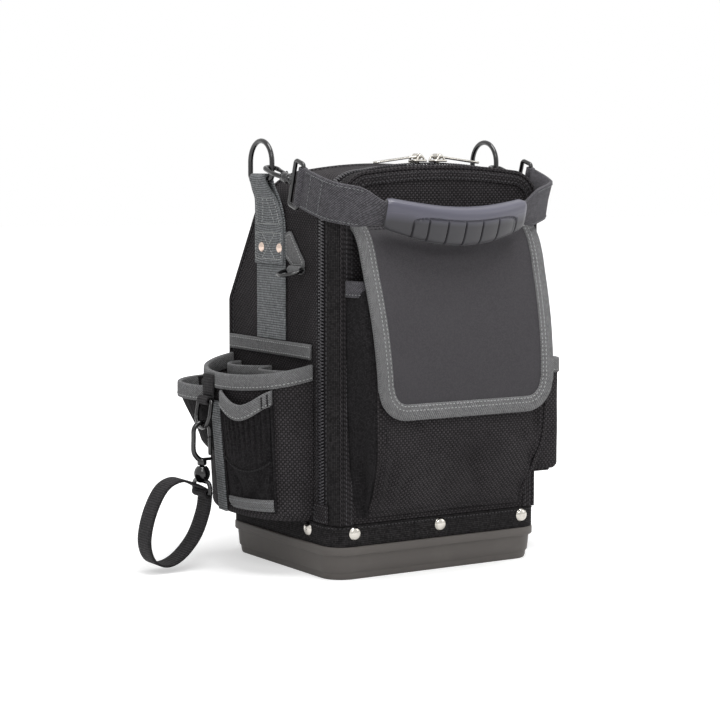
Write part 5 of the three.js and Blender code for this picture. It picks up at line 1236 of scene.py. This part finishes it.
def handle_webbing():
    """The handle's webbing: a flat section, cupped outside the grip, and its loops round the hooks' far bars."""
    x, f = WEB.T
    t = np.array([-1, -0.97, 0, 0.97, 1, 1, 0.97, 0, -0.97, -1])
    b = np.array([-0.5, -1, -1, -1, -0.5, 0.5, 1, 1, 1, 0.5]) * 1.5
    half = web_half(x)
    cup = -0.8 * (1 - t**2) * smoothstep(np.abs(x), 70, 95)[:, None]
    flat = WEB[:, None] + (b + cup)[..., None] * WEB_OUT[:, None]
    points = held(flat[..., 0], flat[..., 1], sag(x)[:, None] + t * half[:, None])
    solid("carry_webbing", points, CARRY_WEBBING, "handle", ["handle_webbing"])
    face, rows = WEB + 1.6 * WEB_OUT, []
    for name, side in SIDES:
        circle = arc((side * RING_BAR[0], EYE), 3.3, 0, 360, 25)[:-1]
        ribbon(f"carry_loop_{name}", held(*circle.T, 0.0), held_way(0, 0, 1), 17.6, 1.7, CARRY_WEBBING, "handle",
               closed=True)
        for forward in (88, 104):
            k = np.argmin(np.abs(f - forward) + 1000 * (np.sign(x) != side))
            w = sag(x[k]) + np.linspace(-0.92, 0.92, 14) * half[k]
            rows.append((held(*face[k], w), held_way(*WEB_OUT[k], 0)))
        bare = (np.sign(x) == side) & (f > 78) & (np.abs(x + 4) > 92)
        for share in (-0.86, 0.86):
            w = (sag(x) + share * half)[bare]
            rows.append((held(*face[bare].T, w), held_way(*WEB_OUT[bare].T, 0)))
    stitches("carry_webbing_stitching", rows, "handle", PALE_THREAD, stitch=2.6, gap=1.1, thick=0.36)


def grip():
    """The moulded grip: rounded-square sections along the webbing. Six pads on its lower front are parted by
    narrow slots, and an arched slot bounds them above."""
    line = along(WEB[np.abs(WEB[:, 0] + 4) < 73.2], 420)
    out, x = square_to(line), line[:, 0]
    share = np.abs(x + 4) / 75
    fall = np.clip((share - 0.9) / 0.1, 0, 1)
    height = 17 - 3.5 * share**2 - 2.4 * fall**2
    depth = 9.5 - 2.7 * share**2 - 1.6 * fall**2
    turn = np.concatenate([np.linspace(-1.5, 1.1, 64), np.linspace(1.2, 2 * np.pi - 1.6, 26)])
    c, s = np.cos(turn), np.sin(turn)
    a = np.sign(c) * np.abs(c) ** 0.62 * depth[:, None]
    b = np.sign(s) * np.abs(s) ** 0.62 * height[:, None]
    below = (7 - 6 * np.clip(np.abs(x - 1) / 54, 0, 1) ** 6)[:, None] - b
    within = (np.abs(x - 1) < 54)[:, None]
    slot = np.exp(-((below / 0.8) ** 4)) * within
    pad = smoothstep(below, 0.0, 1.5)
    for at in (-53, -39, -21, -3, 15, 33, 55):
        slot = np.maximum(slot, np.exp(-(((x - at) / 0.85) ** 4))[:, None] * pad)
    swell = 0.5 * np.abs(np.sin((x + 39) / 18 * np.pi))[:, None] ** 0.7 * pad * within
    a -= (2.2 * slot - swell) * smoothstep(c, -0.1, 0.25)
    flat = line[:, None] + a[..., None] * out[:, None]
    solid("grip", held(flat[..., 0], flat[..., 1], sag(x)[:, None] + b), GRIP_RUBBER, "handle", ["handle_grip"])


# Thong at the back of the left side, which hangs straight in the plane y 31

THONG_X, THONG_Y = -177.113, 31.0  # the line on which the hook and the swivel hang
THONG_BEND, THONG_SHANK = 125.308, 104.208  # heights of the middle of the hook's bend and of its shank
KNOB, SWIVEL_BAR = 93.708, 69.708  # heights of the swivel's knob and of the bar that the webbing hangs on


def thong_tab():
    """The sewn tab: a plate of webbing, its loop, and the D-ring that hangs from it, 9 degrees from upright."""
    outline = rounded(9.3, 12, 0.9, 3) + [THONG_Y, 166]
    plate("thong_tab_web", outline, 168.9, -1, 1.8, 0.4, BLACK_WEBBING, ["thong_tab"])
    bar = (-173.202, 154)
    eye("thong_tab_loop", bar, 3.3, THONG_Y, 9.3, 1.8, BLACK_WEBBING, "bag")
    d_ring("thong_ring_wire", "thong_ring", "thong_ring", bar, THONG_Y, 12.5, 3, 25, 2, lean=189)


def thong_hook():
    """The thong's snap hook: its claw on a turned stem, the heel that the gate shuts against, and the gate."""
    r, x = 8.5, THONG_X
    claw = [(x, THONG_SHANK - 6), (x - r * 0.62, THONG_SHANK - 2), (x - r, THONG_SHANK + 4), (x - r, THONG_BEND - 5)]
    claw = curved([*claw, *arc((x, THONG_BEND), r, 180, 0, 17), (x + r, THONG_BEND - 4), (x + r, THONG_BEND - 5)], 70)
    wire = np.interp(np.linspace(0, 1, 70), [0, 0.3, 0.95, 1], [2.6, 2.2, 2.2, 1.8])
    tube("thong_claw", lay(claw, 1, THONG_Y), wire, ACROSS_Y, BLACK_ENAMEL, "thong_hook", ["thong_hook"])
    stem = [(0.3, -13.6), (2.2, -13.5), (2.2, -9.6), (4.0, -9.4), (4.3, -8.6), (4.3, -5), (3.6, -3.8), (2.2, -3.2),
            (0.4, -3)]
    solid("thong_stem", lathe(stem, (x, THONG_Y, THONG_SHANK), (0, 0, 1)), BLACK_ENAMEL, "thong_hook")
    heel = prism(rounded(5.6, 2.1, 1.2, 4), -5.5, -3.2, 0.4) + [x + 5, THONG_Y, THONG_SHANK]
    solid("thong_heel", heel, BLACK_ENAMEL, "thong_hook")
    gate = xyz(x + r, THONG_Y, [THONG_BEND - 5.5, THONG_BEND - 7.5, 110, THONG_SHANK + 1, THONG_SHANK - 0.8])
    tube("thong_gate_wire", gate, [1.5, 1.9, 1.9, 1.9, 1.6], ACROSS_Y, BLACK_ENAMEL, "thong_gate", ["thong_gate"])


def thong_swivel():
    """The swivel: a turned knob, and the wire loop under it with tight corners below and wide ones above."""
    knob = [(0.3, -15), (3.6, -15), (4.8, -14.3), (6.6, -11), (7.5, -8), (7.4, -5.2), (6.2, -2.4), (4.9, -0.5),
            (4.4, -0.2), (2.7, -0.1)]
    rings = lathe(knob, (THONG_X, THONG_Y, KNOB), (0, 0, 1), 28)
    solid("thong_swivel_body", rings, BLACK_ENAMEL, "thong_strap", ["thong_swivel"])
    top, low, half = KNOB - 13.5, SWIVEL_BAR, 15.5
    line = np.vstack([arc((half - 3, low + 3), 3, -90, 0, 7), arc((half - 6, top - 6), 6, 0, 90, 9),
                      arc((-half + 6, top - 6), 6, 90, 180, 9), arc((-half + 3, low + 3), 3, 180, 270, 7)])
    path = lay(line + [THONG_Y, 0], 0, THONG_X)
    tube("thong_swivel_loop", path, 2.0, (1, 0, 0), BLACK_ENAMEL, "thong_strap", closed=True)


def thong_loop():
    """The thong's webbing: one open bow of it, closed round the swivel's bar."""
    line = curved([(3.4, 0), (0.5, -18), (-9, -40), (-25, -57), (-41, -63), (-54, -57), (-59, -40), (-54, -16),
                   (-42, 6), (-27, 13.5), (-12, 9.5), (-2, 4.5)], 150)
    path = lay(line + [THONG_X, SWIVEL_BAR], 1, THONG_Y)
    ribbon("thong_web", path, ACROSS_Y, 12.5, 2.0, BLACK_WEBBING, "thong_strap", ["thong_webbing"])
    eye("thong_web_loop", (THONG_X, SWIVEL_BAR), 3.4, THONG_Y, 12.5, 2.0, BLACK_WEBBING, "thong_strap")


# Zip sliders and their pulls

SLIDER_X, SLIDER_FOOT = 11.0, 370.7  # how far a slider stands from the middle, and its plate's underside
BRIDGE_Y, PIN_Z = -71.7, 375.8  # the middle of the bridge, and the pin that the pull hangs on


def slider(name, side):
    """A slider: a crowned plate over the coils with a waist, its bridge as a bent wire, and the pull's pin."""
    x, body = side * SLIDER_X, f"slider_{name}"
    outline = rounded(7.5, 6.1, 3, 7)
    outline[:, 1] *= 1 - 0.18 * np.exp(-((outline[:, 0] / 3.2) ** 2))
    plate = prism(outline, 0, 2.2, 0.6) + [x, ZIP_Y + 1.2, SLIDER_FOOT]
    solid(f"slider_plate_{name}", plate, NICKEL, body, [body])
    flange = prism(rounded(5.3, 1.6, 0.7, 4), 368.5, SLIDER_FOOT + 0.4, 0.3) + [x, -66.9, 0]
    solid(f"slider_flange_{name}", flange, NICKEL, body)
    low, high = SLIDER_FOOT + 1.2, SLIDER_FOOT + 4.2
    leg = curved([(-4.2, low), (-2.6, high), (0, PIN_Z + 1), (2.6, high), (4.2, low)], 24) + [x, 0]
    for place, k in (("front", -1), ("rear", 1)):
        path = lay(leg, 1, BRIDGE_Y + k * 6.0)
        tube(f"slider_bridge_{name}_{place}", path, 1.05, ACROSS_Y, NICKEL, body, sides=10)
    pin = [(0.2, -7), (1.1, -6.9), (1.2, -6.4), (1.2, 6.4), (1.1, 6.9), (0.2, 7)]
    solid(f"slider_pin_{name}", lathe(pin, (x, BRIDGE_Y, PIN_Z), ACROSS_Y, 14), NICKEL, body)


def pull(name, side):
    """The long pull: a waisted leaf with raised edges that lies 7 degrees down, and its eye round the pin."""
    x, body = side * SLIDER_X, f"pull_{name}"
    a = np.linspace(0, 47, 60)
    half = np.interp(a, [0, 3, 10, 22, 32, 38, 43, 45.6, 47], [4.5, 4.4, 3.1, 2.8, 3.4, 4.4, 4.1, 2.9, 0.6])
    t = np.array([-1, -0.9, -0.45, 0, 0.45, 0.9, 1, 1, 0.9, 0.45, 0, -0.45, -0.9, -1])
    b = np.array([-0.4, -0.9, -0.6, -0.55, -0.6, -0.9, -0.4, 0.4, 0.9, 0.6, 0.55, 0.6, 0.9, 0.4])
    leaf = turned(xyz(a[:, None], t * half[:, None], b), 7, (0, 0))[3:]
    solid(f"pull_leaf_{name}", leaf * [side, 1, 1] + [x, BRIDGE_Y, PIN_Z], NICKEL, body, [body])
    eye(f"pull_eye_{name}", (x, PIN_Z), 2.2, BRIDGE_Y, 4.3, 1.0, NICKEL, body, 24)


pouch()
pouch_binding()
dividers()
elastic_pocket()
elastic_foot()
rear_pocket()
pouch_tape()
right_pocket()
for hook_name, hook_side in SIDES:
    handle_hook(hook_name, hook_side)
    slider(hook_name, hook_side)
    pull(hook_name, hook_side)
handle_webbing()
grip()
thong_tab()
thong_hook()
thong_swivel()
thong_loop()

# Floor, backdrop and lamps


def seen_directly(tree):
    """One for the rays that see the backdrop: the camera's, and those that metal or a gloss sends on."""
    path = add(tree, "LightPath").node
    seen = path.outputs["Is Camera Ray"]
    for kind in ("Is Glossy Ray", "Is Transmission Ray"):
        seen = add(tree, "Math", {0: seen, 1: path.outputs[kind]}, operation="MAXIMUM")
    return seen


def paper_floor():
    """A pale floor that glows more with its distance, so that it runs up into the white backdrop without an edge."""
    made, tree, place = start("paper_floor")
    away = add(tree, "VectorMath", {0: place}, output="Value", operation="LENGTH")
    glow = add(tree, "MapRange", {0: away, 1: 0.3, 2: 1.6, 3: 0.5, 4: 1.0})
    glow = add(tree, "Math", {0: seen_directly(tree), 1: glow}, operation="MULTIPLY")
    light = add(tree, "Emission", {"Color": (1, 1, 1, 1), "Strength": glow})
    diffuse = add(tree, "BsdfDiffuse", {"Color": hex_colour("e6e6e6")})
    add(tree, "OutputMaterial", {"Surface": add(tree, "AddShader", {0: diffuse, 1: light})})
    mesh = bpy.data.meshes.new("floor")
    mesh.from_pydata([(-9, -9, 0), (9, -9, 0), (9, 9, 0), (-9, 9, 0)], [], [(0, 1, 2, 3)])
    mesh.materials.append(made)
    link(bpy.data.objects.new("floor", mesh))


def backdrop():
    """White where it is seen, and a third as bright as a light on the bag."""
    world = bpy.data.worlds.new("studio")
    world.use_nodes = True
    tree = world.node_tree
    tree.nodes.clear()
    strength = add(tree, "MapRange", {0: seen_directly(tree), 3: 0.33, 4: 1.0})
    light = add(tree, "Background", {"Color": (1, 1, 1, 1), "Strength": strength})
    add(tree, "OutputWorld", {"Surface": light})
    bpy.context.scene.world = world


def lamp(name, place, size, power):
    """A soft square lamp turned to the middle of the bag."""
    made = link(bpy.data.objects.new(name, bpy.data.lights.new(name, "AREA")))
    made.data.size, made.data.energy = size, power
    back = unit(place - np.array([0, 0, 0.2]))
    right = unit(np.cross([0, 0, 1], back) + [1e-6, 0, 0])
    made.matrix_world = turned_to(right, np.cross(back, right), back, place)


paper_floor()
backdrop()
lamp("key", (-1.35, -2.45, 2.4), 1.3, 28)
lamp("fill", (2.4, -1.9, 1.5), 1.5, 10)
lamp("top", (0.1, -0.5, 2.6), 1.5, 53)
bpy.context.scene.view_settings.view_transform = "Standard"
